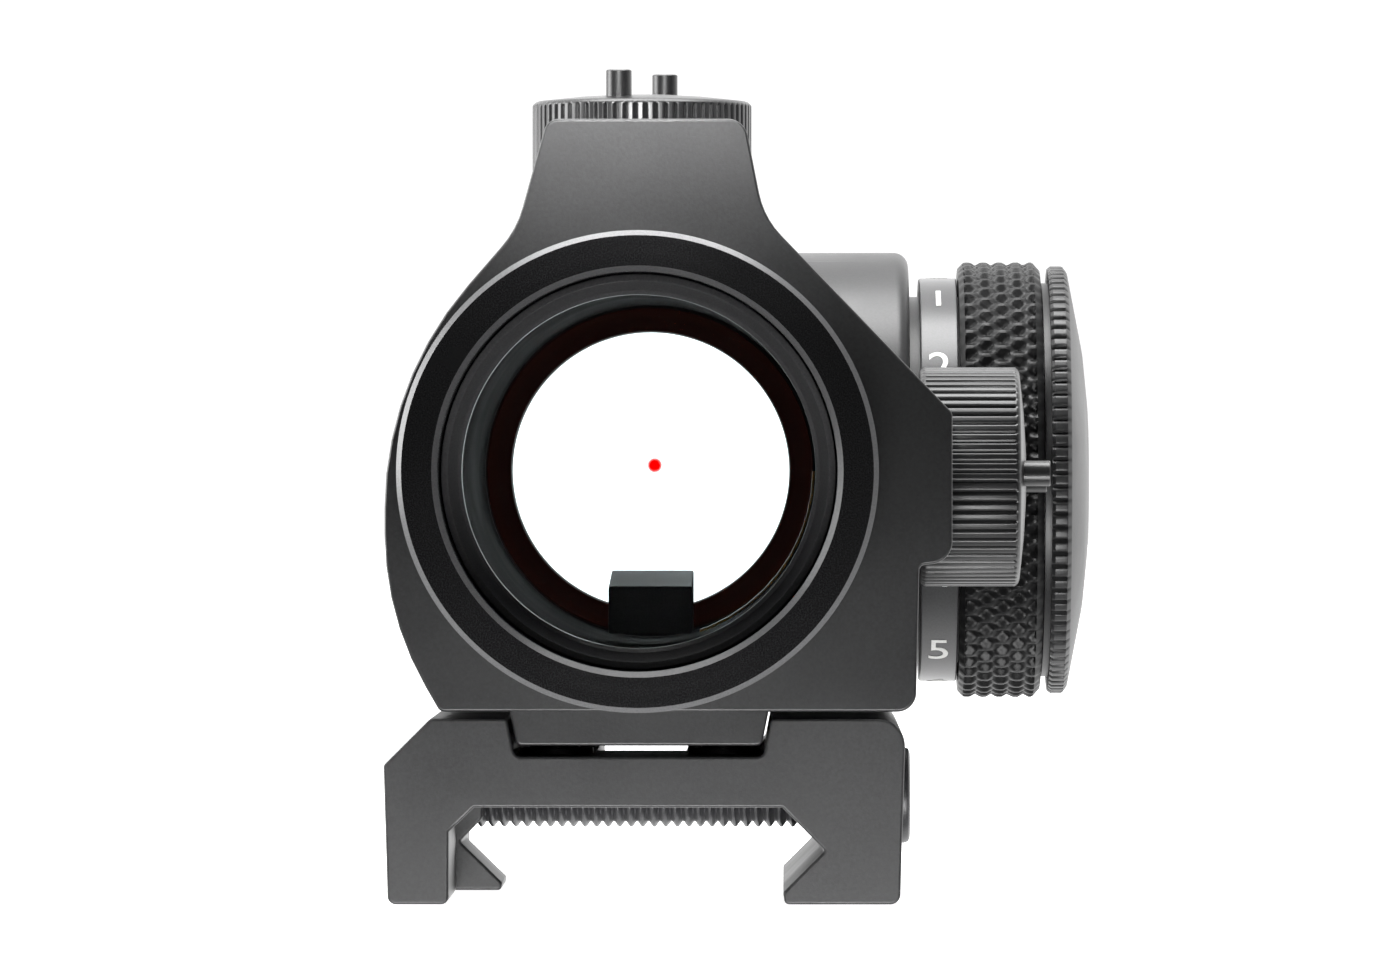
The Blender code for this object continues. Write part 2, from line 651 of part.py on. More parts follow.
def make_mount():
    mount = extruded("mount_base", MOUNT_OUTLINE, MOUNT_REAR, MOUNT_FRONT, SATIN)
    bolt_spot = (0, BOLT_Y, BOLT_Z)
    half = JAW_LENGTH / 2
    pocket_low = (-20, BOLT_Y - half - JAW_GAP, -9)
    pocket_high = (-7.9, BOLT_Y + half + JAW_GAP, JAW_TOP + JAW_GAP)
    pocket = box("cut_jaw_pocket", pocket_low, pocket_high, None)
    channel = rod("cut_bolt_channel", BOLT_CHANNEL, -10, 14.5, None, 24)
    head_hole = rod("cut_bolt_head", BOLT_HEAD_RADIUS + JAW_GAP, HEAD_HOLE_REAR, 18, None, 24)
    cut(mount, pocket, place(channel, bolt_spot, "x"), place(head_hole, bolt_spot, "x"))
    for number, (x, y) in enumerate(SCREW_PLACES):
        pad = rod(f"add_mount_pad_{number + 1}", PAD_RADIUS, RECESS_FLOOR - 0.5, PAD_TOP, None)
        join(mount, place(pad, (x, y, 0)))
        sink = rod(f"cut_screw_head_{number + 1}", SCREW_SINK_RADIUS, -1, SCREW_SINK_TOP, None)
        hole = rod(f"cut_screw_shank_{number + 1}", SCREW_HOLE_RADIUS, -1, MOUNT_TOP, None)
        cut(mount, place(sink, (x, y, 0)), place(hole, (x, y, 0)))
        make_mount_screw(f"mount_screw_{number + 1}", x, y)

    jaw = extruded("clamp_jaw", JAW_OUTLINE, BOLT_Y - half, BOLT_Y + half, SATIN)
    cut(jaw, place(rod("cut_jaw_thread", BOLT_RADIUS + 0.25, -20, 0, None), bolt_spot, "x"))
    bolt_profile = [
        (0, 16.2),
        (BOLT_HEAD_RADIUS - 0.3, 16.2),
        (BOLT_HEAD_RADIUS, 15.9),
        (BOLT_HEAD_RADIUS, 13.9),
        (BOLT_RADIUS, 13.9),
        (BOLT_RADIUS, -13.8),
        (BOLT_RADIUS - 0.4, -14.2),
        (0, -14.2),
    ]
    bolt = place(turned("cross_bolt", bolt_profile, BLACK_STEEL, 24), bolt_spot, "x")
    slot = box("cut_bolt_slot", (-5, -0.5, 15.0), (5, 0.5, 18), None)
    cut(bolt, place(slot, bolt_spot, "x"))
    place(ring("bolt_washer", 2.9, 2.15, 13.2, 13.75, BLACK_STEEL, 24), bolt_spot, "x")


def make_mount_screw(name, x, y):
    """A socket-head screw, driven up from the rail side into the housing."""
    profile = [(0, 6.9), (1.0, 6.9), (1.35, 6.5), (1.35, 1.3), (2.4, 1.3), (2.4, 0.3)]
    profile += [(0.9, 0.3), (0.9, 0.9), (0, 0.9)]
    place(turned(name, profile, BLACK_STEEL, 12), (x, y, 0))


make_main_housing()
make_optics()
make_turret("elevation", TURRETS["elevation"], ELEVATION_PEG_ANGLE, ELEVATION_SEAT)
make_turret("windage", TURRETS["windage"], WINDAGE_PEG_ANGLE, WINDAGE_SEAT)
make_brightness_dial()
make_mount()
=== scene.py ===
"""The looks of a compact tube red dot sight on a rail clamp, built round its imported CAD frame.

x points to the dial side, y forward along the line of sight and z up. Sizes are in millimetres, and MM turns
them into metres. A turned piece is made in its own frame, with z along its axis, and then placed. Heights in
the upper assembly are measured from the tube axis, and in the mount from the rail seat.
"""

import json
import math

import bmesh
import bpy
from mathutils import Matrix, Vector

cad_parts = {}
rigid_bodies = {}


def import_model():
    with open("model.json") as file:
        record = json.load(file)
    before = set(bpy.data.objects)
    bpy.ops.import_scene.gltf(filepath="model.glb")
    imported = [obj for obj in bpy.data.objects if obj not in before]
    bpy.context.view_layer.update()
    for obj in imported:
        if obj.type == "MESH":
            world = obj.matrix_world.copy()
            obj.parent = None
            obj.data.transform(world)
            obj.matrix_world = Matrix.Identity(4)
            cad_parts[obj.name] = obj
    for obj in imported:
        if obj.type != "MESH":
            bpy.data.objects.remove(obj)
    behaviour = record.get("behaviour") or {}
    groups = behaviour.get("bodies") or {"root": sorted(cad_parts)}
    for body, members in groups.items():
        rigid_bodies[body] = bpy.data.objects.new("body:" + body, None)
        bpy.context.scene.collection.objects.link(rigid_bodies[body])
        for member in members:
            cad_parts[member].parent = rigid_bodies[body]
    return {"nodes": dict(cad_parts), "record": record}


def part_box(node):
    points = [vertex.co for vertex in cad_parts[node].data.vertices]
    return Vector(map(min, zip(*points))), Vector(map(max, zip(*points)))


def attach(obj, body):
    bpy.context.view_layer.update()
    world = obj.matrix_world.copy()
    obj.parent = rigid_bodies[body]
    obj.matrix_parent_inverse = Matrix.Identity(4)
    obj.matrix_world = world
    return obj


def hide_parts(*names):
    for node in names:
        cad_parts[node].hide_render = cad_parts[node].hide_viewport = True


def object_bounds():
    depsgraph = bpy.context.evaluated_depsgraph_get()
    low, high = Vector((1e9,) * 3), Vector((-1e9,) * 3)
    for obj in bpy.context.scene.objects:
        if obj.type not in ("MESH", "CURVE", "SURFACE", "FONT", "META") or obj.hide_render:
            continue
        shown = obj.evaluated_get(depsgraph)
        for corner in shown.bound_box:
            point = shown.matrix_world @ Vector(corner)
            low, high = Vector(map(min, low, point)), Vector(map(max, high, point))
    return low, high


for old in list(bpy.data.objects):
    bpy.data.objects.remove(old, do_unlink=True)
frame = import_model()
CAD_LOW, CAD_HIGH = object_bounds()

MM = 0.001

# Studio. A light is (name, location, target, size, watts, spread in degrees).
FLOOR_GLOW = 1.0
BACKDROP_GLOW = 1.1
WORLD_AHEAD = 1.9
WORLD_BEHIND = 0.04
BEHIND_RAMP = (-0.1, 0.4)
CORNER = (0.8, -0.15, 0.55)
CORNER_RAMP = (0.5, 0.9)
CORNER_SHADE = 0.45
LIGHTS = [
    ("overhead_softbox", (0, 10, 260), (0, 10, 20), (260, 150), 1.4, 180),
    ("left_softbox", (-280, 10, 90), (0, 10, 20), (160, 200), 1.1, 180),
    ("neck_light", (-2, -46, 58), (-1, -1, 38), (24, 8), 0.0044, 40),
    ("base_light", (0, -60, -30), (0, -7, -1), (90, 30), 0.017, 55),
]

FLOOR_REACH = 2500.0
FLOOR_DROP = 0.02
BACKDROP_RADIUS = 2400.0

# Camera, square on to the eyepiece end.
LENS = 238.0
SENSOR = 36.0
CAMERA_PLACE = (8.5, -552, 20.3)
CAMERA_DIRECTION = (-0.00897, 1, -0.00292)

# How finely round shapes are cut.
ROUND = 160
HIDDEN_ROUND = 48
SMALL_ROUND = 32
ARC_STEP = math.radians(6)
EDGE_STEPS = 3
SHARP_ANGLE = math.radians(32)
FLAT_ANGLE = math.radians(0.05)
WELD = 0.0005
SOFT_STEP = math.radians(15)
FAR = 60.0

# Directions in which an object's own z axis can point.
ALONG = {
    "x": Matrix.Rotation(math.pi / 2, 4, "Y"),
    "y": Matrix.Rotation(-math.pi / 2, 4, "X"),
    "z": Matrix.Identity(4),
    "spring": Matrix.Rotation(-math.radians(135), 4, "Y"),
}


def middle(node):
    """The middle of a CAD node's box, in millimetres."""
    low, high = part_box(node)
    return (low + high) / 2 / MM


# Places, from the frame.
CAP_LOW = 0.35
TUBE = Vector((0, 0, middle("inner_tube").z))
ELEVATION = Vector((0, middle("elevation_cap").y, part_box("elevation_cap")[0].z / MM - CAP_LOW))
WINDAGE = Vector((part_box("windage_cap")[0].x / MM - CAP_LOW, middle("windage_cap").y, middle("windage_cap").z))
DIAL = Vector((0, middle("dial_knob").y, middle("dial_knob").z))
BOLT = Vector((0, middle("cross_bolt").y, middle("cross_bolt").z))
SCREWS = [middle(f"mount_screw_{number}") for number in (1, 2, 3, 4)]

# Housing.
REAR_END = -12.0
BODY_REAR = -7.0
BODY_FRONT = 30.5
TUBE_FRONT = 44.0
THREAD_FRONT = 47.0
RING_RADIUS = 14.1
TUBE_RADIUS = 14.7
MOUTH_RADIUS = 11.7
MOUTH_CHAMFER = 0.33
RING_CHAMFER = 0.3
SHOULDER_RADIUS = 10.9
BORE_RADIUS = 12.6
GUARD_FRONT = -1.0
GUARD_TOP = 20.75
GUARD_PROUD = 0.03
SADDLE_FRONT = 13.5
ELEVATION_SEAT = ELEVATION.z - TUBE.z
WINDAGE_SEAT = WINDAGE.x
BASE_Z = -14.13
TONGUE_Z = -16.16
BLOCK_TOP = -6.0
BOSS_Z = -0.2
BOSS_RADIUS = 13.85
BOSS_FACE = 16.3

# Optics. Heights are y, forward from the middle of the sight.
RETAINER_RADIUS = 11.6
RETAINER_LIP = 10.42
LIGHT_TUBE_RADIUS = 11.8
LIGHT_TUBE_BORE = 10.7
LIGHT_TUBE_END = 46.0
LENS_RADIUS = 10.4
STOP_RADIUS = 8.9
BEZEL_END = 50.0
EMITTER_HALF = 2.55
EMITTER_SHIFT = Vector((0.4, 0, 0))
LAMP_RADIUS = 0.55
DOT_RADIUS = 0.54
DOT_THICKNESS = 0.02
DOT_PLACE = Vector((0.325, 38.5, 0.36))

# Turrets. Heights are measured from the seat of each cap.
CAP_RADIUS = 6.6
CAP_BORE = 5.3
CAP_RIM = 6.05
CAP_DOME = 6.75
CAP_CEILING = 4.65
CAP_FLUTES = 68
FLUTE_DEPTH = 0.16
NECK_RADIUS = 5.0
NECK_BORE = 4.4
NECK_TOP = 3.35
NECK_PITCH = 0.75
PEG_RADIUS = 0.77
PEG_TOP = 8.1
PEG_REACH = 3.84
PEG_ANGLE = {"elevation": math.radians(69.7), "windage": math.radians(87)}

# Brightness dial. Heights are x.
SPIGOT_RADIUS = 11.45
SPIGOT_BORE = 9.8
SPIGOT_END = 21.2
KNOB_BORE = 11.75
NUMBER_RADIUS = 12.6
NUMBER_LOW = 16.95
NUMBER_HIGH = 19.3
KNOB_LOW = 19.4
KNOB_END = 24.5
KNOB_RADIUS = 13.6
KNURL_COUNT = 68
KNURL_RISE = 2.0
KNURL_DEPTH = 0.48
GROOVE_RADIUS = 12.3
BATTERY_CAP_RADIUS = 13.35
BATTERY_CAP_LOW = 25.0
BATTERY_CAP_RIM = 26.2
BATTERY_CAP_END = 27.5
SERRATIONS = 100
SERRATION_DEPTH = 0.28
DIGIT_SIZE = 3.1
DIGIT_PROUD = 0.03
DIGIT_STEP = math.radians(30)
DIGIT_ZERO = math.radians(93)
DIGIT_COUNT = 12
COIN_SLOT_REACH = 7.0
COIN_SLOT_HALF = 0.85
COIN_SLOT_DEPTH = 0.65

# Mount. Heights are measured from the rail seat.
MOUNT_REAR = -7.0
MOUNT_FRONT = 30.0
MOUNT_TOP = 5.24
RECESS_FLOOR = 3.0
FOOT_Z = -5.71
JAW_LENGTH = 9.0
JAW_TOP = 2.2
BOLT_RADIUS = 1.95
BOLT_PITCH = 0.7
BOLT_HEAD_RADIUS = 2.95
BOLT_HEAD_LOW = 13.9
BOLT_HEAD_END = 16.2
JAW_PLAY = 0.3
RELIEF_HALF = 2.7
RELIEF_REAR = 5.0
RELIEF_FLOOR = 2.2
PAD_RADIUS = 2.2
SINK_RADIUS = 2.7
SCREW_HOLE_RADIUS = 1.65
SCREW_RADIUS = 1.35
SCREW_HEAD_RADIUS = 2.4

# Each outline corner is (x, height, radius of its rounding).
HOUSING_OUTLINE = [
    (16.3, BASE_Z, 1.1),
    (16.5, -5.5, 0.4),
    (18.45, -5.3, 1.3),
    (18.45, 3.44, 0.5),
    (7.35, 14.95, 5.0),
    (6.2, GUARD_TOP, 1.2),
    (-5.37, GUARD_TOP, 0.9),
    (-7.17, 14.25, 6.0),
    (-14.95, 5.3, 20.0),
    (-14.95, -8.5, 18.0),
    (-11.7, BASE_Z, 0.5),
]
TONGUE_OUTLINE = [
    (-7.9, BASE_Z + 1.5, 0.0),
    (-7.2, TONGUE_Z, 0.4),
    (7.25, TONGUE_Z, 0.4),
    (7.95, BASE_Z + 1.5, 0.0),
]
MOUNT_OUTLINE = [
    (-14.8, FOOT_Z, 0.5),
    (-11.2, FOOT_Z, 0.45),
    (-11.2, -1.45, 0.0),
    (-9.7, 0.0, 0.0),
    (8.45, 0.0, 0.0),
    (10.97, -2.53, 0.2),
    (8.5, -5.0, 0.25),
    (8.6, FOOT_Z, 0.3),
    (15.4, FOOT_Z, 0.6),
    (15.74, MOUNT_TOP, 1.6),
    (7.8, MOUNT_TOP, 0.25),
    (7.36, RECESS_FLOOR, 0.5),
    (-7.32, RECESS_FLOOR, 0.5),
    (-7.78, MOUNT_TOP, 0.25),
    (-12.3, MOUNT_TOP, 0.3),
    (-15.05, 2.5, 0.3),
]
JAW_OUTLINE = [
    (-14.8, -5.45, 0.4),
    (-8.5, -5.45, 0.25),
    (-8.4, -5.0, 0.2),
    (-10.97, -2.5, 0.2),
    (-9.6, -1.1, 0.2),
    (-9.6, JAW_TOP, 0.3),
    (-14.8, JAW_TOP, 0.4),
]
EDGE = 0.17
BODY_EDGE = 0.25


# ---------------------------------------------------------------- materials


# The part of a noise value's range that is used, the scale and depth of each grain, and the lathe's pitch.
NOISE_LOW = 0.3
NOISE_HIGH = 0.7
FINE_GRAIN = (9000, 0.004)
BLASTED = (5500, 0.006)
POLISHED = (9000, 0.0015)
LATHE_MARKS = (0.16, 0.004, "Y")


def link(tree, source, target):
    """Joins two sockets of a shader tree."""
    tree.links.new(source, target)


def node(tree, kind, **settings):
    """A new node of a shader tree, with its settings."""
    made = tree.nodes.new(kind)
    for name, value in settings.items():
        setattr(made, name, value)
    return made


def noise(tree, scale, detail=4.0, roughness=0.55):
    """Noise over the object's own space. Scale is in features per metre."""
    place_node = node(tree, "ShaderNodeTexCoord")
    made = node(tree, "ShaderNodeTexNoise")
    made.inputs["Scale"].default_value = scale
    made.inputs["Detail"].default_value = detail
    made.inputs["Roughness"].default_value = roughness
    link(tree, place_node.outputs["Object"], made.inputs["Vector"])
    return made.outputs["Fac"]


def spread(tree, value, low, high):
    """Maps a noise value to a range."""
    made = node(tree, "ShaderNodeMapRange")
    made.inputs["From Min"].default_value = NOISE_LOW
    made.inputs["From Max"].default_value = NOISE_HIGH
    made.inputs["To Min"].default_value = low
    made.inputs["To Max"].default_value = high
    link(tree, value, made.inputs["Value"])
    return made.outputs["Result"]


def blend_colours(tree, value, dark, light):
    """Maps a noise value to a colour."""
    ramp = node(tree, "ShaderNodeValToRGB")
    ramp.color_ramp.elements[0].position = NOISE_LOW
    ramp.color_ramp.elements[0].color = (*dark, 1)
    ramp.color_ramp.elements[1].position = NOISE_HIGH
    ramp.color_ramp.elements[1].color = (*light, 1)
    link(tree, value, ramp.inputs["Fac"])
    return ramp.outputs["Color"]


def bump(tree, value, distance, strength=1.0, under=None):
    """Relief from a value, in millimetres, on top of an earlier relief."""
    made = node(tree, "ShaderNodeBump")
    made.inputs["Distance"].default_value = distance * MM
    made.inputs["Strength"].default_value = strength
    link(tree, value, made.inputs["Height"])
    if under is not None:
        link(tree, under, made.inputs["Normal"])
    return made.outputs["Normal"]


def lathe_marks(tree, pitch, axis):
    """Fine turning lines, one pitch apart, round one of the object's own axes."""
    place_node = node(tree, "ShaderNodeTexCoord")
    made = node(tree, "ShaderNodeTexWave", wave_type="RINGS", rings_direction=axis, wave_profile="SIN")
    made.inputs["Scale"].default_value = 1 / (pitch * MM) / 20
    made.inputs["Distortion"].default_value = 0.6
    made.inputs["Detail"].default_value = 1.0
    link(tree, place_node.outputs["Object"], made.inputs["Vector"])
    return made.outputs["Fac"]


def finish(name, dark, light, rough, metallic=0.0, specular=0.5, grain=FINE_GRAIN, patch=120, marks=None):
    """A material whose colour and roughness vary in soft patches, with a fine grain in relief."""
    made = bpy.data.materials.new(name)
    made.use_nodes = True
    tree = made.node_tree
    shader = tree.nodes["Principled BSDF"]
    shader.inputs["Metallic"].default_value = metallic
    shader.inputs["Specular IOR Level"].default_value = specular
    patches = noise(tree, patch)
    fine = noise(tree, grain[0], detail=3.0, roughness=0.65)
    link(tree, blend_colours(tree, fine, dark, light), shader.inputs["Base Color"])
    link(tree, spread(tree, patches, *rough), shader.inputs["Roughness"])
    relief = bump(tree, fine, grain[1])
    if marks is not None:
        pitch, depth, axis = marks
        relief = bump(tree, lathe_marks(tree, pitch, axis), depth, under=relief)
    link(tree, relief, shader.inputs["Normal"])
    return made


def coated_glass(name, coating, index=1.45):
    """Clear glass. The coating colours and dims what it reflects straight on."""
    made = bpy.data.materials.new(name)
    made.use_nodes = True
    tree = made.node_tree
    shader = tree.nodes["Principled BSDF"]
    shader.inputs["Base Color"].default_value = (1.0, 1.0, 1.0, 1.0)
    shader.inputs["Transmission Weight"].default_value = 1.0
    shader.inputs["IOR"].default_value = index
    shader.inputs["Roughness"].default_value = 0.0
    shader.inputs["Specular Tint"].default_value = (*coating, 1.0)
    return made


def glowing_dot(radius):
    """A red glow that fades out over its outer part."""
    made = bpy.data.materials.new("red_glow")
    made.use_nodes = True
    tree = made.node_tree
    shader = tree.nodes["Principled BSDF"]
    shader.inputs["Base Color"].default_value = (0.0, 0.0, 0.0, 1.0)
    shader.inputs["Specular IOR Level"].default_value = 0.0
    shader.inputs["Emission Color"].default_value = (1.0, 0.0, 0.0, 1.0)
    shader.inputs["Emission Strength"].default_value = 1.3
    place_node = node(tree, "ShaderNodeTexCoord")
    length = node(tree, "ShaderNodeVectorMath", operation="LENGTH")
    link(tree, place_node.outputs["Object"], length.inputs[0])
    fade = node(tree, "ShaderNodeMapRange", interpolation_type="SMOOTHSTEP")
    fade.inputs["From Min"].default_value = radius * 0.5 * MM
    fade.inputs["From Max"].default_value = radius * MM
    fade.inputs["To Min"].default_value = 1.0
    fade.inputs["To Max"].default_value = 0.0
    link(tree, length.outputs["Value"], fade.inputs["Value"])
    link(tree, fade.outputs["Result"], shader.inputs["Alpha"])
    return made


BODY_DARK = (0.009, 0.009, 0.0094)
BODY_LIGHT = (0.018, 0.018, 0.0188)
SATIN_DARK = (0.015, 0.015, 0.0156)
SATIN_LIGHT = (0.027, 0.027, 0.028)
FINISHES = {
    "anodised_body": finish("black_anodised", BODY_DARK, BODY_LIGHT, (0.36, 0.46), grain=BLASTED),
    "anodised_satin": finish("satin_anodised", SATIN_DARK, SATIN_LIGHT, (0.36, 0.46), grain=BLASTED),
    "matt_black": finish("matt_black", (0.007, 0.007, 0.007), (0.014, 0.014, 0.014), (0.7, 0.85), specular=0.25),
    "steel": finish("steel", (0.52, 0.52, 0.53), (0.66, 0.66, 0.67), (0.22, 0.34), metallic=1.0),
    "black_steel": finish("black_steel", (0.02, 0.02, 0.022), (0.045, 0.045, 0.048), (0.32, 0.46), specular=0.7),
    "brass": finish("brass", (0.66, 0.47, 0.2), (0.78, 0.58, 0.3), (0.24, 0.36), metallic=1.0),
    "rubber": finish("rubber", (0.01, 0.01, 0.01), (0.018, 0.018, 0.018), (0.62, 0.78), specular=0.35),
    "glass": coated_glass("coated_glass", (0.1, 0.13, 0.15)),
    "circuit_board": finish("solder_mask", (0.012, 0.09, 0.035), (0.02, 0.13, 0.05), (0.35, 0.5)),
    "polyimide": finish("polyimide", (0.4, 0.19, 0.03), (0.5, 0.26, 0.05), (0.3, 0.4)),
    "lamp_red": finish("lamp_red", (0.7, 0.015, 0.01), (0.85, 0.03, 0.015), (0.2, 0.3)),
}
TURNED = finish(
    "turned_anodised",
    (0.006, 0.006, 0.0063),
    (0.012, 0.012, 0.0126),
    (0.2, 0.28),
    specular=0.35,
    grain=POLISHED,
    marks=LATHE_MARKS,
)
NUMBER_GREY = finish("number_grey", (0.036, 0.036, 0.037), (0.052, 0.052, 0.054), (0.27, 0.35))
KNOB_BLACK = finish("knob_black", (0.003, 0.003, 0.0032), (0.007, 0.007, 0.0073), (0.36, 0.46), specular=0.25)
# A darker copy of the anodised finish for the screw caps: painted shade that keeps the caps dark under the near
# light.
CAP_PAINTED_SHADE = finish("cap_painted_shade", (0.008, 0.008, 0.0084), (0.016, 0.016, 0.0166), (0.3, 0.4))
RETAINER_GREY = finish("retainer_grey", (0.055, 0.055, 0.057), (0.085, 0.085, 0.088), (0.3, 0.4))
# A lighter grey for the emitter block: painted light, standing in for the light that reaches it through the
# objective.
EMITTER_PAINTED_LIGHT = finish("emitter_painted_light", (0.03, 0.03, 0.031), (0.05, 0.05, 0.052), (0.5, 0.6))
# A lighter grey on the eyepiece ring's chamfers: a painted highlight along those edges.
PAINTED_CHAMFER_HIGHLIGHT = finish("painted_chamfer_highlight", (0.06, 0.06, 0.062), (0.1, 0.1, 0.103), (0.3, 0.4))
RUBY_GLASS = coated_glass("ruby_coated_glass", (1.0, 0.16, 0.08), 1.7)
PAINT = finish("white_paint", (0.62, 0.62, 0.6), (0.74, 0.74, 0.72), (0.4, 0.55))
GLOW = glowing_dot(DOT_RADIUS)

SLOTS = {part["node"]: part["material_slot"] for part in frame["record"]["subparts"]}
for name, cad_node in frame["nodes"].items():
    cad_node.data.materials.clear()
    cad_node.data.materials.append(FINISHES[SLOTS[name]])


# ---------------------------------------------------------------- mesh tools


def new_mesh(name, points, faces):
    """A mesh from points in millimetres, with its faces turned outwards."""
    mesh = bpy.data.meshes.new(name)
    mesh.from_pydata([Vector(point) * MM for point in points], [], faces)
    work = bmesh.new()
    work.from_mesh(mesh)
    bmesh.ops.recalc_face_normals(work, faces=work.faces)
    work.to_mesh(mesh)
    work.free()
    return mesh


def rounded(corners, step=ARC_STEP):
    """The points of a closed outline, with an arc at each corner that has a radius."""
    points = []
    for index, (x, height, radius) in enumerate(corners):
        corner = Vector((x, height))
        if radius == 0:
            points.append(corner)
            continue
        back = (Vector(corners[index - 1][:2]) - corner).normalized()
        ahead = (Vector(corners[(index + 1) % len(corners)][:2]) - corner).normalized()
        half = back.angle(ahead) / 2
        centre = corner + (back + ahead).normalized() * radius / math.sin(half)
        start = corner + back * radius / math.tan(half) - centre
        turn = math.copysign(math.pi - 2 * half, ahead.cross(back))
        steps = max(2, round(abs(turn) / step))
        for index_on_arc in range(steps + 1):
            points.append(centre + Matrix.Rotation(turn * index_on_arc / steps, 2) @ start)
    return points


def inset(points, amount):
    """The outline moved inwards by an amount, or outwards if it is negative. The outline runs anticlockwise."""
    moved = []
    for index, point in enumerate(points):
        before = (point - points[index - 1]).normalized()
        after = (points[(index + 1) % len(points)] - point).normalized()
        normal_before = Vector((-before.y, before.x))
        normal_after = Vector((-after.y, after.x))
        moved.append(point + (normal_before + normal_after) * amount / (1 + normal_before.dot(normal_after)))
    return moved


def clipped(points, axis, limit):
    """The part of an outline that lies below the limit on one axis."""
    kept = []
    for index, point in enumerate(points):
        before = points[index - 1]
        if (before[axis] > limit) != (point[axis] > limit):
            share = (limit - before[axis]) / (point[axis] - before[axis])
            kept.append(before.lerp(point, share))
        if point[axis] <= limit:
            kept.append(point)
    return kept


def slab(name, points, rear, front, edge):
    """An anticlockwise outline in x and z, extruded along y from rear to front, with rounded edges."""
    levels = []
    for step in range(EDGE_STEPS + 1):
        angle = math.pi / 2 * step / EDGE_STEPS
        levels.append((edge * (1 - math.cos(angle)), edge * (1 - math.sin(angle))))
    rings = [(rear + depth, shift) for depth, shift in levels]
    rings += [(front - depth, shift) for depth, shift in reversed(levels)]
    count = len(points)
    verts = []
    faces = []
    for depth, shift in rings:
        verts += [(point.x, depth, point.y) for point in inset(points, shift)]
    for level in range(len(rings) - 1):
        low = level * count
        for index in range(count):
            after = (index + 1) % count
            faces.append((low + index, low + after, low + count + after, low + count + index))
    faces.append(tuple(range(count)))
    faces.append(tuple(range(len(verts) - count, len(verts))))
    return new_mesh(name, verts, faces)


def turned(name, profile, segments=ROUND, relief=None):
    """A (radius, height) profile turned round z: a ring, or a solid if it starts and ends on the axis.

    A third number on a point is the share of relief(angle, height) that is added to its radius.
    """
    verts = []
    rings = []
    for radius, height, *share in profile:
        if radius == 0:
            rings.append([len(verts)] * segments)
            verts.append((0, 0, height))
            continue
        rings.append(list(range(len(verts), len(verts) + segments)))
        for index in range(segments):
            angle = 2 * math.pi * index / segments
            reach = radius + (share[0] * relief(angle, height) if share else 0)
            verts.append((reach * math.cos(angle), reach * math.sin(angle), height))
    faces = []
    on_axis = profile[0][0] == 0
    for level in range(len(rings) - 1 if on_axis else len(rings)):
        low = rings[level]
        high = rings[(level + 1) % len(rings)]
        for index in range(segments):
            after = (index + 1) % segments
            corners = dict.fromkeys((low[index], low[after], high[after], high[index]))
            faces.append(tuple(corners))
    return new_mesh(name, verts, faces)


def soft_profile(corners):
    """A turned ring's profile with rounded corners, from (radius, height, rounding)."""
    return [(point.x, point.y) for point in rounded(corners, SOFT_STEP)]


def rod(name, radius, low, high, segments=SMALL_ROUND):
    """A plain cylinder on z."""
    return turned(name, [(0, high), (radius, high), (radius, low), (0, low)], segments)


def block(name, low, high):
    """A plain box between two corners, for cutting."""
    verts = [(x, y, z) for x in (low[0], high[0]) for y in (low[1], high[1]) for z in (low[2], high[2])]
    faces = [(0, 1, 3, 2), (4, 5, 7, 6), (0, 1, 5, 4), (2, 3, 7, 6), (0, 2, 6, 4), (1, 3, 7, 5)]
    return new_mesh(name, verts, faces)


def moved(mesh, location=(0, 0, 0), along="z"):
    """The mesh with its own z axis along a direction, shifted by a location in millimetres."""
    mesh.transform(Matrix.Translation(Vector(location) * MM) @ ALONG[along])
    return mesh


def merged(name, meshes):
    """Several meshes as one, with no Boolean."""
    work = bmesh.new()
    for mesh in meshes:
        work.from_mesh(mesh)
    made = bpy.data.meshes.new(name)
    work.to_mesh(made)
    work.free()
    return made


def carved(name, base, adds=(), cuts=()):
    """The base joined with some meshes in one step, then cut by others one by one."""
    scene_objects = bpy.context.scene.collection.objects
    obj = bpy.data.objects.new(name, base)
    scene_objects.link(obj)
    group = bpy.data.collections.new(name)
    bpy.context.scene.collection.children.link(group)
    for mesh in adds:
        group.objects.link(bpy.data.objects.new("added", mesh))
    if adds:
        step = obj.modifiers.new("join", "BOOLEAN")
        step.operation = "UNION"
        step.operand_type = "COLLECTION"
        step.collection = group
    helpers = list(group.objects)
    for mesh in cuts:
        helper = bpy.data.objects.new("cutter", mesh)
        scene_objects.link(helper)
        helpers.append(helper)
        obj.modifiers.new("cut", "BOOLEAN").object = helper
    bpy.context.view_layer.update()
    graph = bpy.context.evaluated_depsgraph_get()
    made = bpy.data.meshes.new_from_object(obj.evaluated_get(graph))
    for helper in [obj, *helpers]:
        bpy.data.objects.remove(helper)
    bpy.data.collections.remove(group)
    work = bmesh.new()
    work.from_mesh(made)
    bmesh.ops.remove_doubles(work, verts=work.verts, dist=WELD * MM)
    bmesh.ops.dissolve_limit(work, angle_limit=FLAT_ANGLE, verts=work.verts, edges=work.edges)
    work.to_mesh(made)
    work.free()
    return made


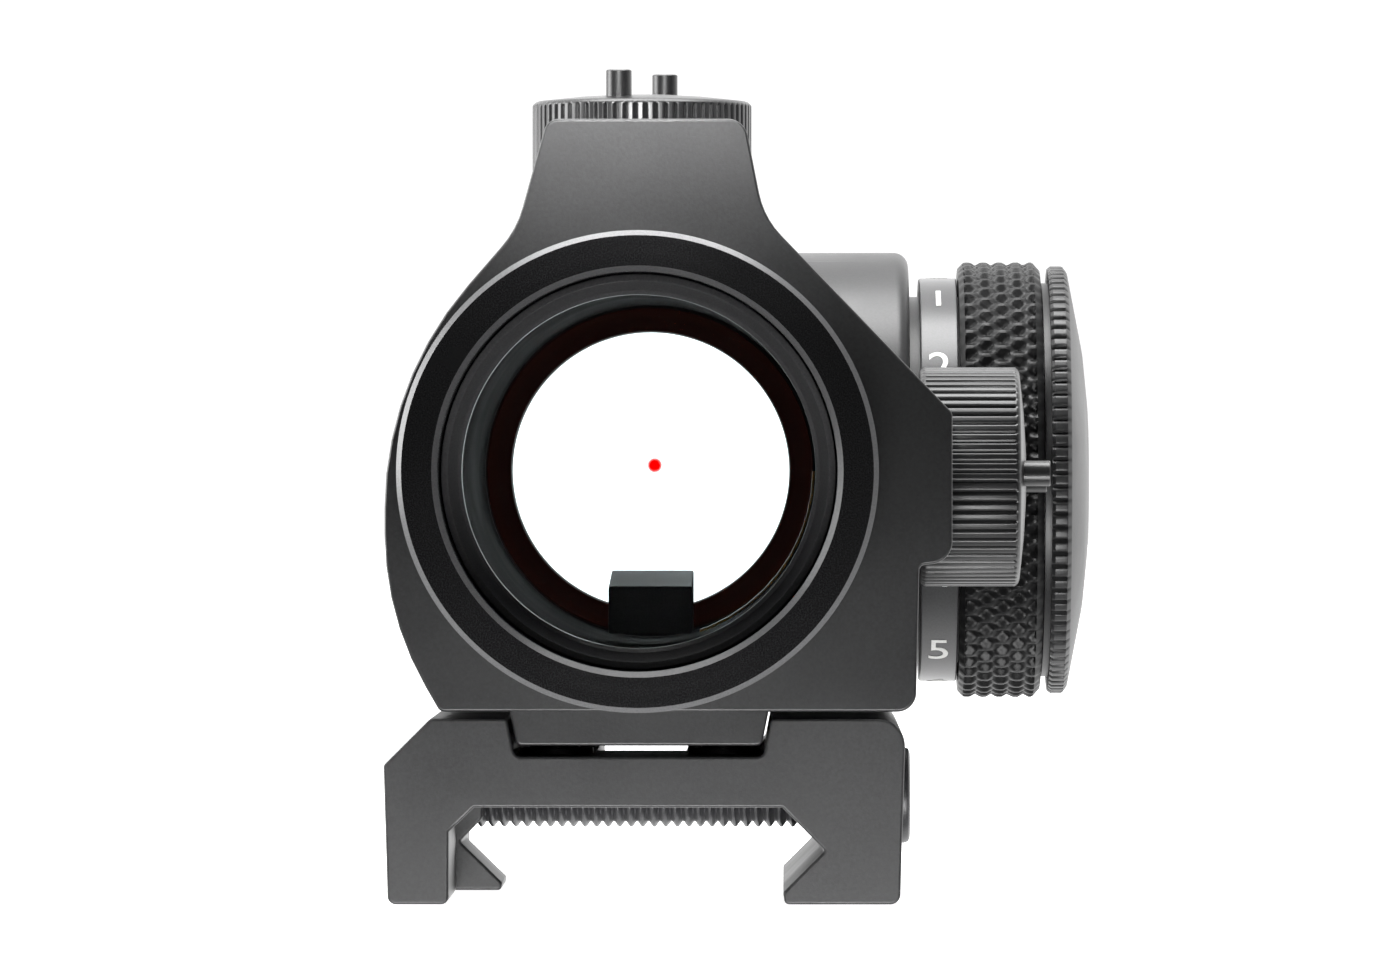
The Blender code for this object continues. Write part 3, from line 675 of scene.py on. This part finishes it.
def piece(name, mesh, material_slot, body, nodes=(), location=(0, 0, 0), along="z", material=None):
    """Adds a finished piece to the scene, riding on its body and standing for its CAD nodes."""
    mesh.materials.clear()
    mesh.materials.append(material or FINISHES[material_slot])
    for face in mesh.polygons:
        face.material_index = 0
    mesh.shade_smooth()
    mesh.set_sharp_from_angle(angle=SHARP_ANGLE)
    obj = bpy.data.objects.new(name, mesh)
    bpy.context.scene.collection.objects.link(obj)
    obj.matrix_world = Matrix.Translation(Vector(location) * MM) @ ALONG[along]
    shading = obj.modifiers.new("flat_faces", "WEIGHTED_NORMAL")
    shading.keep_sharp = True
    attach(obj, body)
    if nodes:
        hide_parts(*nodes)
    return obj


def wave(position):
    """A ridge that rises and falls once per unit, from 0 in the groove to 1 on the crest."""
    return abs(2 * (position % 1.0) - 1)


# ---------------------------------------------------------------- housing


def skin_finish(spot):
    """Which of the skin's materials a face takes: body, turned ring or a chamfer with a painted highlight."""
    radius = math.hypot(spot.x, spot.z)
    on_chamfer = REAR_END + 0.02 < spot.y < REAR_END + RING_CHAMFER
    # The outer and mouth chamfers of the ring take the painted highlight.
    if on_chamfer and (radius < MOUTH_RADIUS + MOUTH_CHAMFER or radius > RING_RADIUS - RING_CHAMFER):
        return 2
    return 1 if spot.y < BODY_REAR - 0.05 else 0


def build_housing():
    """The one machined body: eyepiece ring, guards, saddle, tube, dial boss, spigot and base tongue."""
    outline = rounded(HOUSING_OUTLINE)
    guard = slab("guard", inset(outline, -GUARD_PROUD), BODY_REAR, GUARD_FRONT, EDGE)
    saddle_outline = clipped(clipped(outline, 0, WINDAGE_SEAT), 1, ELEVATION_SEAT)
    saddle = slab("saddle", saddle_outline, BODY_REAR + 1, SADDLE_FRONT, BODY_EDGE)
    block_outline = clipped(inset(outline, GUARD_PROUD), 1, BLOCK_TOP)
    base_block = slab("base_block", block_outline, SADDLE_FRONT - 1, BODY_FRONT, BODY_EDGE)
    tongue = slab("tongue", rounded(TONGUE_OUTLINE), BODY_REAR + 0.05, BODY_FRONT - 0.05, EDGE)
    tube_profile = [
        (0, THREAD_FRONT),
        (13.4, THREAD_FRONT),
        (13.4, TUBE_FRONT),
        (TUBE_RADIUS - 0.3, TUBE_FRONT),
        (TUBE_RADIUS, TUBE_FRONT - 0.3),
        (TUBE_RADIUS, 1),
        (0, 1),
    ]
    ring_profile = [
        (0, -5),
        (RING_RADIUS, -5),
        (RING_RADIUS, REAR_END + RING_CHAMFER),
        (RING_RADIUS - RING_CHAMFER, REAR_END),
        (0, REAR_END),
    ]
    boss_corner = rounded([(0, 2, 0), (0, BOSS_FACE, 0), (BOSS_RADIUS, BOSS_FACE, 0.9), (BOSS_RADIUS, 2, 0)])
    boss_profile = [(point.x, point.y) for point in boss_corner[1:]] + [(0, 2)]
    spigot_profile = [(0, SPIGOT_END), (SPIGOT_RADIUS, SPIGOT_END), (SPIGOT_RADIUS, 20.9), (10.9, 20.9)]
    spigot_profile += [(10.9, 20.3), (SPIGOT_RADIUS, 20.3), (SPIGOT_RADIUS, 18.5), (10.8, 18.5)]
    spigot_profile += [(10.8, 17.3), (SPIGOT_RADIUS, 17.3), (SPIGOT_RADIUS, 15), (0, 15)]
    dial_axis = DIAL - TUBE
    adds = [
        saddle,
        base_block,
        tongue,
        moved(turned("tube", tube_profile), along="y"),
        moved(turned("eyepiece_ring", ring_profile), along="y"),
        moved(turned("dial_boss", boss_profile), (0, dial_axis.y, BOSS_Z), "x"),
        moved(turned("spigot", spigot_profile, HIDDEN_ROUND), dial_axis, "x"),
    ]
    bore_profile = [
        (0, FAR),
        (BORE_RADIUS, FAR),
        (BORE_RADIUS, -2.4),
        (SHOULDER_RADIUS, -2.4),
        (SHOULDER_RADIUS, -3.4),
        (MOUTH_RADIUS, -3.4),
        (MOUTH_RADIUS, REAR_END + MOUTH_CHAMFER),
        (MOUTH_RADIUS + MOUTH_CHAMFER + 1, REAR_END - 1),
        (0, REAR_END - 1),
    ]
    cuts = [
        moved(turned("bore", bore_profile), along="y"),
        moved(rod("switch_pocket", SPIGOT_BORE, 13.9, 30, HIDDEN_ROUND), dial_axis, "x"),
        moved(rod("spring_pocket", 1.6, 11.0, 16.2, SMALL_ROUND), (0, ELEVATION.y, 0), "spring"),
    ]
    reach = 12.1 * math.sqrt(0.5)
    detent_spot = (0, dial_axis.y + reach, dial_axis.z + reach)
    cuts.append(moved(rod("dial_detent", 0.6, 13.9, 17, SMALL_ROUND), detent_spot, "x"))
    for spot, along in ((ELEVATION - TUBE, "z"), (WINDAGE - TUBE, "x")):
        well = [(0, 9), (NECK_BORE, 9), (NECK_BORE, 0.75), (1.9, 0.75), (1.9, -5.5), (0, -5.5)]
        cuts.append(moved(turned("well", well, HIDDEN_ROUND), spot, along))
        detent = moved(rod("detent", 0.6, -1.85, 1.5, SMALL_ROUND), (-3.0, 0, 0))
        cuts.append(moved(detent, spot, along))
    for screw in SCREWS:
        hole = rod("screw_hole", 1.7, -TUBE.z, 7.4 - TUBE.z, SMALL_ROUND)
        cuts.append(moved(hole, (screw.x, screw.y, 0)))
    skin = carved("housing_skin", guard, adds, cuts)
    housing = piece("housing_skin", skin, "anodised_body", "housing", ["main_housing"], TUBE)
    skin.materials.append(TURNED)
    # The chamfers' painted highlight.
    skin.materials.append(PAINTED_CHAMFER_HIGHLIGHT)
    for face in skin.polygons:
        face.material_index = skin_finish(face.center / MM)
    return housing


def thread(pitch, depth):
    """The relief of a screw thread: how far each point lies below the crest."""

    def below_crest(angle, height):
        return -depth * (1 - min(1, 1.25 * wave(height / pitch - angle / (2 * math.pi))))

    return below_crest


def stepped(low, high, step):
    """Even heights from high down to low."""
    count = math.ceil((high - low) / step)
    return [high + (low - high) * index / count for index in range(count + 1)]


def build_necks():
    """The two threaded necks that the screw caps sit on."""
    for side, spot, along in (("elevation", ELEVATION, "z"), ("windage", WINDAGE, "x")):
        profile = [(NECK_BORE, -0.1), (NECK_BORE, NECK_TOP), (NECK_RADIUS - 0.4, NECK_TOP)]
        profile += [(NECK_RADIUS, height, 1.0) for height in stepped(0.3, NECK_TOP - 0.25, NECK_PITCH / 8)]
        profile += [(NECK_RADIUS - 0.45, 0.15), (NECK_RADIUS - 0.45, -0.1)]
        mesh = turned(f"{side}_neck", profile, 96, thread(NECK_PITCH, 0.35))
        piece(f"{side}_neck", mesh, "anodised_body", "housing", (), spot, along)


# ---------------------------------------------------------------- optics


def build_optics():
    """The eyepiece, the tilting tube with its objective, and the bezel at the front."""
    retainer = [
        (RETAINER_RADIUS, -6.0, 0.1),
        (RETAINER_RADIUS, -8.3, 0.05),
        (11.2, -8.3, 0.05),
        (10.66, -7.4, 0.04),
        (RETAINER_LIP, -7.22, 0.03),
        (RETAINER_LIP, -6.0, 0.1),
    ]
    mesh = turned("eyepiece_retainer", soft_profile(retainer))
    piece("eyepiece_retainer", mesh, None, "housing", ["rear_lens_retainer"], TUBE, "y", RETAINER_GREY)
    lens = [(0, -4.2), (11.4, -4.2), (11.5, -4.3), (11.5, -5.6), (11.4, -5.7), (0, -5.7)]
    piece("eyepiece_window", turned("eyepiece_window", lens), "glass", "housing", ["rear_lens"], TUBE, "y")
    tube = [
        (LIGHT_TUBE_RADIUS, LIGHT_TUBE_END, 0.15),
        (LIGHT_TUBE_RADIUS, 0.0, 0.15),
        (LIGHT_TUBE_BORE, 0.0, 0.15),
        (LIGHT_TUBE_BORE, LIGHT_TUBE_END, 0.15),
    ]
    mesh = turned("light_tube", soft_profile(tube))
    piece("light_tube", mesh, "matt_black", "optical_tube", ["inner_tube"], TUBE, "y")
    back = [(0, 41.7), (LENS_RADIUS, 41.2), (LENS_RADIUS, 39.8), (5, 39.35), (0, 39.2)]
    front = [(0, 43.2), (5, 43.3), (LENS_RADIUS, 43.6), (LENS_RADIUS, 41.5), (5, 41.88), (0, 42.0)]
    rear_lens = turned("objective_rear_glass", back)
    piece("objective_rear_glass", rear_lens, "glass", "optical_tube", ["objective_lens_rear"], TUBE, "y")
    front_lens = turned("objective_front_glass", front)
    shape = ("objective_front_glass", front_lens, "glass", "optical_tube", ["objective_lens_front"], TUBE, "y")
    piece(*shape, RUBY_GLASS)
    stop = [
        (10.45, LIGHT_TUBE_END, 0.1),
        (10.45, 44.0, 0.1),
        (STOP_RADIUS, 44.0, 0.1),
        (STOP_RADIUS, LIGHT_TUBE_END, 0.25),
    ]
    mesh = turned("objective_ring", soft_profile(stop))
    piece("objective_ring", mesh, "matt_black", "optical_tube", ["objective_retainer"], TUBE, "y")
    bezel = [
        (10.4, BEZEL_END, 0.3),
        (TUBE_RADIUS - 0.1, BEZEL_END, 0.5),
        (TUBE_RADIUS - 0.1, 44.2, 0.15),
        (13.8, 44.2, 0.1),
        (13.8, 47.3, 0.1),
        (10.2, 47.3, 0.1),
    ]
    bezel_mesh = turned("objective_bezel", soft_profile(bezel))
    notch = block("notch", (-1, -FAR, BEZEL_END - 0.8), (1, FAR, BEZEL_END + 2))
    bezel_mesh = carved("objective_bezel", bezel_mesh, (), [notch])
    piece("objective_bezel", bezel_mesh, "anodised_body", "housing", ["front_bezel"], TUBE, "y")


def build_emitter():
    """The block that holds the lamp, and the dot that the lens throws back to the eye."""
    corners = [(-24.0, -9.9, 0), (-13.0, -9.9, 0), (-13.0, -7.04, 0.25), (-24.0, -6.16, 0.25)]
    holder = slab("emitter_holder", rounded(corners), -EMITTER_HALF, EMITTER_HALF, 0.12)
    holder.transform(Matrix.Rotation(-math.pi / 2, 4, "Z"))
    lamp_hole = moved(rod("lamp_hole", LAMP_RADIUS, 22, 26), (0, 0, -7.3), "y")
    holder = carved("emitter_holder", holder, (), [lamp_hole])
    place = TUBE + EMITTER_SHIFT
    # The emitter block takes the lighter grey of painted light.
    piece("emitter_holder", holder, None, "optical_tube", ["emitter_block"], place, "z", EMITTER_PAINTED_LIGHT)
    dot = rod("aiming_dot", DOT_RADIUS, -DOT_THICKNESS / 2, DOT_THICKNESS / 2, 64)
    piece("aiming_dot", dot, "lamp_red", "optical_tube", (), TUBE + DOT_PLACE, "y", GLOW)


# ---------------------------------------------------------------- turrets


def flutes(angle, height):
    """The relief of a screw cap's flutes."""
    return -FLUTE_DEPTH * (1 - min(1, 2.0 * wave(angle * CAP_FLUTES / (2 * math.pi))))


def build_cap(side, spot, along):
    """A fluted screw cap with two pegs, and the rubber ring under it."""
    profile = [
        (0, CAP_DOME),
        (2.0, CAP_DOME - 0.05),
        (4.0, CAP_DOME - 0.18),
        (CAP_RADIUS - 0.35, CAP_RIM + 0.27),
        (CAP_RADIUS - 0.18, CAP_RIM + 0.21),
        (CAP_RADIUS - 0.04, CAP_RIM + 0.07),
        (CAP_RADIUS, CAP_RIM - 0.02, 0.4),
        (CAP_RADIUS, CAP_RIM - 0.12, 1.0),
        (CAP_RADIUS, CAP_LOW + 0.45, 1.0),
        (CAP_RADIUS, CAP_LOW + 0.3, 0.5),
        (CAP_RADIUS - 0.1, CAP_LOW + 0.12),
        (CAP_RADIUS - 0.22, CAP_LOW),
        (6.0, CAP_LOW),
        (6.0, CAP_LOW + 1.1),
        (CAP_BORE, CAP_LOW + 1.1),
        (CAP_BORE, CAP_CEILING),
        (0, CAP_CEILING),
    ]
    shell = turned(f"{side}_screw_cap", profile, CAP_FLUTES * 10, flutes)
    pegs = []
    for turn in (0, math.pi):
        angle = PEG_ANGLE[side] + turn
        low = CAP_RIM - 0.3
        peg = [(0, PEG_TOP), (PEG_RADIUS - 0.06, PEG_TOP), (PEG_RADIUS, PEG_TOP - 0.06)]
        peg += [(PEG_RADIUS, low), (0, low)]
        spot_on_cap = (PEG_REACH * math.cos(angle), PEG_REACH * math.sin(angle), 0)
        pegs.append(moved(turned("peg", peg, SMALL_ROUND), spot_on_cap))
    mesh = carved(f"{side}_screw_cap", shell, pegs)
    body = f"{side}_cap"
    # The cap takes the darker copy of the finish, as painted shade.
    piece(f"{side}_screw_cap", mesh, None, body, [body], spot, along, CAP_PAINTED_SHADE)
    ring = o_ring(f"{side}_cap_ring", 5.45, 0.3, CAP_LOW + 0.55)
    piece(f"{side}_cap_ring", ring, "rubber", f"{side}_cap_carrier", [f"{side}_cap_seal"], spot, along)


def o_ring(name, radius, wire, height, sides=16):
    """A rubber ring of round section."""
    profile = []
    for side in range(sides):
        angle = -2 * math.pi * side / sides
        profile.append((radius + wire * math.cos(angle), height + wire * math.sin(angle)))
    return turned(name, profile, 96)


# ---------------------------------------------------------------- brightness dial


def knurl(angle, height):
    """Two crossing sets of ridges: deep pits where their grooves meet, and peaks where their crests meet."""
    across = angle * KNURL_COUNT / (2 * math.pi)
    along = height / KNURL_RISE
    ridge = (wave(across + along) + wave(across - along)) / 2
    return -KNURL_DEPTH * (1 - min(1, 1.2 * ridge))


def serration(angle, height):
    """The relief of the battery cap's serrations."""
    return -SERRATION_DEPTH * (1 - min(1, 2.2 * wave(angle * SERRATIONS / (2 * math.pi))))


def bent_digit(number):
    """One number of the ring, as a thin solid bent round the dial axis."""
    curve = bpy.data.curves.new("digit", "FONT")
    curve.body = str(number)
    curve.size = DIGIT_SIZE * MM
    curve.align_x = "CENTER"
    curve.align_y = "CENTER"
    curve.extrude = DIGIT_PROUD * MM
    obj = bpy.data.objects.new("digit", curve)
    bpy.context.scene.collection.objects.link(obj)
    bpy.context.view_layer.update()
    mesh = bpy.data.meshes.new_from_object(obj.evaluated_get(bpy.context.evaluated_depsgraph_get()))
    bpy.data.objects.remove(obj)
    work = bmesh.new()
    work.from_mesh(mesh)
    for cut in range(-6, 7):
        geometry = [*work.verts, *work.edges, *work.faces]
        height = cut * 0.25 * MM
        bmesh.ops.bisect_plane(work, geom=geometry, plane_co=(0, height, 0), plane_no=(0, 1, 0))
    middle_x = (NUMBER_LOW + NUMBER_HIGH) / 2 * MM
    for vert in work.verts:
        reach = NUMBER_RADIUS * MM + vert.co.z
        angle = DIGIT_ZERO - DIGIT_STEP * number + vert.co.y / (NUMBER_RADIUS * MM)
        vert.co = Vector((middle_x + vert.co.x, -reach * math.cos(angle), reach * math.sin(angle)))
    work.to_mesh(mesh)
    work.free()
    return mesh


def build_dial():
    """The number ring, the knurled knob and the battery cap."""
    ring = [
        (NUMBER_RADIUS, NUMBER_HIGH, 0.1),
        (NUMBER_RADIUS, NUMBER_LOW, 0.15),
        (KNOB_BORE, NUMBER_LOW, 0.1),
        (KNOB_BORE, NUMBER_HIGH, 0.1),
    ]
    mesh = turned("number_band", soft_profile(ring))
    piece("number_band", mesh, None, "brightness_dial", ["number_ring"], DIAL, "x", NUMBER_GREY)
    digits = merged("dial_numbers", [bent_digit(number) for number in range(DIGIT_COUNT)])
    piece("dial_numbers", digits, None, "brightness_dial", (), DIAL, material=PAINT)

    knob = [(12.5, KNOB_END), (KNOB_RADIUS - 0.5, KNOB_END)]
    knob += [(KNOB_RADIUS - 0.05, KNOB_END - 0.4, 0.4)]
    knob += [(KNOB_RADIUS, height, 1.0) for height in stepped(KNOB_LOW + 0.4, KNOB_END - 0.5, KNURL_RISE / 14)]
    knob += [(KNOB_RADIUS - 0.05, KNOB_LOW + 0.3, 0.4), (KNOB_RADIUS - 0.4, KNOB_LOW), (KNOB_BORE, KNOB_LOW)]
    knob += [(KNOB_BORE, 20.1), (12.6, 20.1), (12.6, 21.5), (2.5, 21.5), (2.5, 22.6)]
    knob += [(11.6, 22.6), (11.6, 23.5), (12.5, 23.5)]
    mesh = turned("knurled_knob", knob, KNURL_COUNT * 10, knurl)
    piece("knurled_knob", mesh, None, "brightness_dial", ["dial_knob"], DIAL, "x", KNOB_BLACK)

    cap = [
        (0, BATTERY_CAP_END),
        (4.7, BATTERY_CAP_END),
        (5.0, BATTERY_CAP_END - 0.02),
        (8.0, 27.17),
        (8.4, 27.1),
        (BATTERY_CAP_RADIUS - 0.42, BATTERY_CAP_RIM + 0.02),
        (BATTERY_CAP_RADIUS - 0.32, BATTERY_CAP_RIM - 0.04),
        (BATTERY_CAP_RADIUS - 0.03, BATTERY_CAP_RIM - 0.25, 0.5),
        (BATTERY_CAP_RADIUS, BATTERY_CAP_RIM - 0.35, 1.0),
        (BATTERY_CAP_RADIUS, BATTERY_CAP_LOW + 0.2, 1.0),
        (BATTERY_CAP_RADIUS - 0.15, BATTERY_CAP_LOW, 0.3),
        (GROOVE_RADIUS, BATTERY_CAP_LOW),
        (GROOVE_RADIUS, 24.6),
        (11.3, 24.6),
        (11.3, 22.9),
        (10.3, 22.9),
        (10.3, 26.3),
        (0, 26.3),
    ]
    shell = turned("battery_lid", cap, SERRATIONS * 10, serration)
    slot_low = (-COIN_SLOT_REACH, -COIN_SLOT_HALF, BATTERY_CAP_END - COIN_SLOT_DEPTH)
    slot_cut = block("coin_slot", slot_low, (COIN_SLOT_REACH, COIN_SLOT_HALF, BATTERY_CAP_END + 1))
    mesh = carved("battery_lid", shell, (), [slot_cut])
    piece("battery_lid", mesh, "anodised_body", "battery_cap", ["battery_cap"], DIAL, "x")
    ring = o_ring("battery_lid_ring", 11.9, 0.4, 24.05)
    piece("battery_lid_ring", ring, "rubber", "battery_cap_carrier", ["battery_cap_seal"], DIAL, "x")
    ring = o_ring("dial_ring", 11.25, 0.36, 17.9)
    piece("dial_ring", ring, "rubber", "housing", ["dial_seal"], DIAL, "x")


# ---------------------------------------------------------------- mount


def build_mount():
    """The rail clamp: base, moving jaw, cross bolt, washer and screws."""
    base = slab("mount_body", rounded(MOUNT_OUTLINE), MOUNT_REAR, MOUNT_FRONT, EDGE)
    half = JAW_LENGTH / 2 + JAW_PLAY
    adds = []
    cuts = [
        block("jaw_pocket", (-20, BOLT.y - half, -9), (-7.9, BOLT.y + half, JAW_TOP + JAW_PLAY)),
        moved(rod("bolt_channel", 2.3, -10, 14.5), BOLT, "x"),
        moved(rod("head_hole", BOLT_HEAD_RADIUS + 0.3, 13.1, 18, 64), BOLT, "x"),
        block("relief_groove", (-RELIEF_HALF, RELIEF_REAR, RELIEF_FLOOR), (RELIEF_HALF, FAR, 9)),
    ]
    for number, screw in enumerate(SCREWS):
        spot = (screw.x, screw.y, 0)
        adds.append(moved(rod("pad", PAD_RADIUS, 2.5, 3.35), spot))
        sink = [(0, 1.6), (SINK_RADIUS, 1.6), (SINK_RADIUS, 0.2), (2.9, 0), (2.9, -1), (0, -1)]
        cuts.append(moved(turned("screw_sink", sink, 48), spot))
        cuts.append(moved(rod("screw_hole", SCREW_HOLE_RADIUS, -1, 5), spot))
        build_screw(f"mount_screw_{number + 1}", spot)
    mesh = carved("mount_body", base, adds, cuts)
    piece("mount_body", mesh, "anodised_satin", "housing", ["mount_base"])

    jaw = slab("moving_jaw", rounded(JAW_OUTLINE), BOLT.y - JAW_LENGTH / 2, BOLT.y + JAW_LENGTH / 2, EDGE)
    hole = moved(rod("jaw_hole", BOLT_RADIUS + 0.25, -20, 0, 64), BOLT, "x")
    piece("moving_jaw", carved("moving_jaw", jaw, (), [hole]), "anodised_satin", "clamp_jaw", ["clamp_jaw"])

    bolt = [
        (0, BOLT_HEAD_END),
        (BOLT_HEAD_RADIUS - 0.35, BOLT_HEAD_END),
        (BOLT_HEAD_RADIUS - 0.1, BOLT_HEAD_END - 0.1),
        (BOLT_HEAD_RADIUS, BOLT_HEAD_END - 0.35),
        (BOLT_HEAD_RADIUS, BOLT_HEAD_LOW + 0.15),
        (BOLT_HEAD_RADIUS - 0.15, BOLT_HEAD_LOW),
        (BOLT_RADIUS - 0.3, BOLT_HEAD_LOW),
        (BOLT_RADIUS - 0.3, 13.0),
    ]
    bolt += [(BOLT_RADIUS, height, 1.0) for height in stepped(-13.7, 12.7, BOLT_PITCH / 8)]
    bolt += [(BOLT_RADIUS - 0.5, -14.2), (0, -14.2)]
    mesh = turned("clamp_bolt", bolt, 56, thread(BOLT_PITCH, 0.4))
    slot_cut = block("driver_slot", (-5, -0.5, 15.0), (5, 0.5, 18))
    mesh = carved("clamp_bolt", mesh, (), [slot_cut])
    piece("clamp_bolt", mesh, "black_steel", "cross_bolt", ["cross_bolt"], BOLT, "x")
    washer = soft_profile([(2.9, 13.75, 0.08), (2.9, 13.2, 0.08), (2.15, 13.2, 0.08), (2.15, 13.75, 0.08)])
    piece("head_washer", turned("head_washer", washer, 96), "black_steel", "housing", ["bolt_washer"], BOLT, "x")


def build_screw(name, spot):
    """A socket-head screw, driven up from the rail side into the housing."""
    profile = [(0, 6.9), (1.0, 6.9), (SCREW_RADIUS, 6.5), (SCREW_RADIUS, 1.3), (SCREW_HEAD_RADIUS - 0.1, 1.3)]
    profile += [(SCREW_HEAD_RADIUS, 1.2), (SCREW_HEAD_RADIUS, 0.45), (SCREW_HEAD_RADIUS - 0.15, 0.3), (0, 0.3)]
    socket = turned("socket", [(0, 0.9), (1.0, 0.9), (1.0, 0.2), (0, 0.2)], 6)
    mesh = carved(f"{name}_body", turned(f"{name}_body", profile, 48), (), [socket])
    piece(f"{name}_body", mesh, "black_steel", "housing", [name], spot)


# ---------------------------------------------------------------- stage


def plain_material(name, colour, strength, albedo=0.8):
    """A dull material that also glows."""
    made = bpy.data.materials.new(name)
    made.use_nodes = True
    shader = made.node_tree.nodes["Principled BSDF"]
    shader.inputs["Base Color"].default_value = (albedo, albedo, albedo, 1)
    shader.inputs["Roughness"].default_value = 0.9
    shader.inputs["Specular IOR Level"].default_value = 0.0
    shader.inputs["Emission Color"].default_value = (*colour, 1)
    shader.inputs["Emission Strength"].default_value = strength
    return made


def stage_object(name, mesh, material):
    """Adds an object that belongs to the studio."""
    mesh.materials.append(material)
    obj = bpy.data.objects.new(name, mesh)
    bpy.context.scene.collection.objects.link(obj)
    return obj


def hide_from_light(obj):
    """Leaves an object visible to the camera only, so that the world alone lights and is reflected."""
    obj.visible_diffuse = False
    obj.visible_glossy = False
    obj.visible_transmission = False
    obj.visible_shadow = False


def build_stage():
    """A white floor and a white dome round everything."""
    reach = FLOOR_REACH
    height = CAD_LOW.z / MM - FLOOR_DROP
    corners = [(-reach, -reach, height), (reach, -reach, height), (reach, reach, height), (-reach, reach, height)]
    floor_mesh = new_mesh("floor", corners, [(0, 1, 2, 3)])
    floor = stage_object("floor", floor_mesh, plain_material("floor", (1, 1, 1), FLOOR_GLOW))
    hide_from_light(floor)
    work = bmesh.new()
    bmesh.ops.create_icosphere(work, subdivisions=5, radius=BACKDROP_RADIUS * MM)
    dome_mesh = bpy.data.meshes.new("backdrop")
    work.to_mesh(dome_mesh)
    work.free()
    dome = stage_object("backdrop", dome_mesh, plain_material("backdrop", (1, 1, 1), BACKDROP_GLOW, 0.0))
    hide_from_light(dome)


def map_range(tree, value, source, target):
    """Maps a value smoothly from one range to another."""
    made = node(tree, "ShaderNodeMapRange", interpolation_type="SMOOTHSTEP")
    made.inputs["From Min"].default_value = source[0]
    made.inputs["From Max"].default_value = source[1]
    made.inputs["To Min"].default_value = target[0]
    made.inputs["To Max"].default_value = target[1]
    link(tree, value, made.inputs["Value"])
    return made.outputs["Result"]


def towards(tree, direction):
    """How much a world direction points the given way, from -1 to 1."""
    place_node = node(tree, "ShaderNodeTexCoord")
    dot = node(tree, "ShaderNodeVectorMath", operation="DOT_PRODUCT")
    dot.inputs[1].default_value = Vector(direction).normalized()
    link(tree, place_node.outputs["Generated"], dot.inputs[0])
    return dot.outputs["Value"]


def times(tree, first, second):
    """The product of two values."""
    made = node(tree, "ShaderNodeMath", operation="MULTIPLY")
    link(tree, first, made.inputs[0])
    link(tree, second, made.inputs[1])
    return made.outputs["Value"]


def build_world():
    """A soft studio: white ahead and overhead, dark behind the eye and dimmer at the upper right."""
    world = bpy.data.worlds.new("studio")
    bpy.context.scene.world = world
    world.use_nodes = True
    tree = world.node_tree
    background = tree.nodes["Background"]
    background.inputs["Color"].default_value = (1, 1, 1, 1)
    behind = map_range(tree, towards(tree, (0, -1, 0)), BEHIND_RAMP, (WORLD_AHEAD, WORLD_BEHIND))
    corner = map_range(tree, towards(tree, CORNER), CORNER_RAMP, (1.0, CORNER_SHADE))
    link(tree, times(tree, behind, corner), background.inputs["Strength"])


def area_light(name, location, target, size, power, spread_angle):
    """A soft rectangular light, aimed at a target."""
    light = bpy.data.lights.new(name, "AREA")
    light.shape = "RECTANGLE"
    light.size = size[0] * MM
    light.size_y = size[1] * MM
    light.energy = power
    light.spread = math.radians(spread_angle)
    obj = bpy.data.objects.new(name, light)
    bpy.context.scene.collection.objects.link(obj)
    obj.location = Vector(location) * MM
    obj.rotation_mode = "QUATERNION"
    obj.rotation_quaternion = (Vector(target) - Vector(location)).to_track_quat("-Z", "Y")
    obj.visible_camera = False
    return obj


def build_camera():
    """A long lens, looking along the line of sight."""
    data = bpy.data.cameras.new("camera")
    data.lens = LENS
    data.sensor_width = SENSOR
    data.clip_start = 0.01
    data.clip_end = 10.0
    camera = bpy.data.objects.new("camera", data)
    bpy.context.scene.collection.objects.link(camera)
    camera.location = Vector(CAMERA_PLACE) * MM
    camera.rotation_mode = "QUATERNION"
    camera.rotation_quaternion = Vector(CAMERA_DIRECTION).to_track_quat("-Z", "Y")
    bpy.context.scene.camera = camera


build_housing()
build_necks()
build_optics()
build_emitter()
build_cap("elevation", ELEVATION, "z")
build_cap("windage", WINDAGE, "x")
build_dial()
build_mount()
build_stage()
build_world()
for studio_light in LIGHTS:
    area_light(*studio_light)
build_camera()
bpy.context.scene.view_settings.view_transform = "Standard"
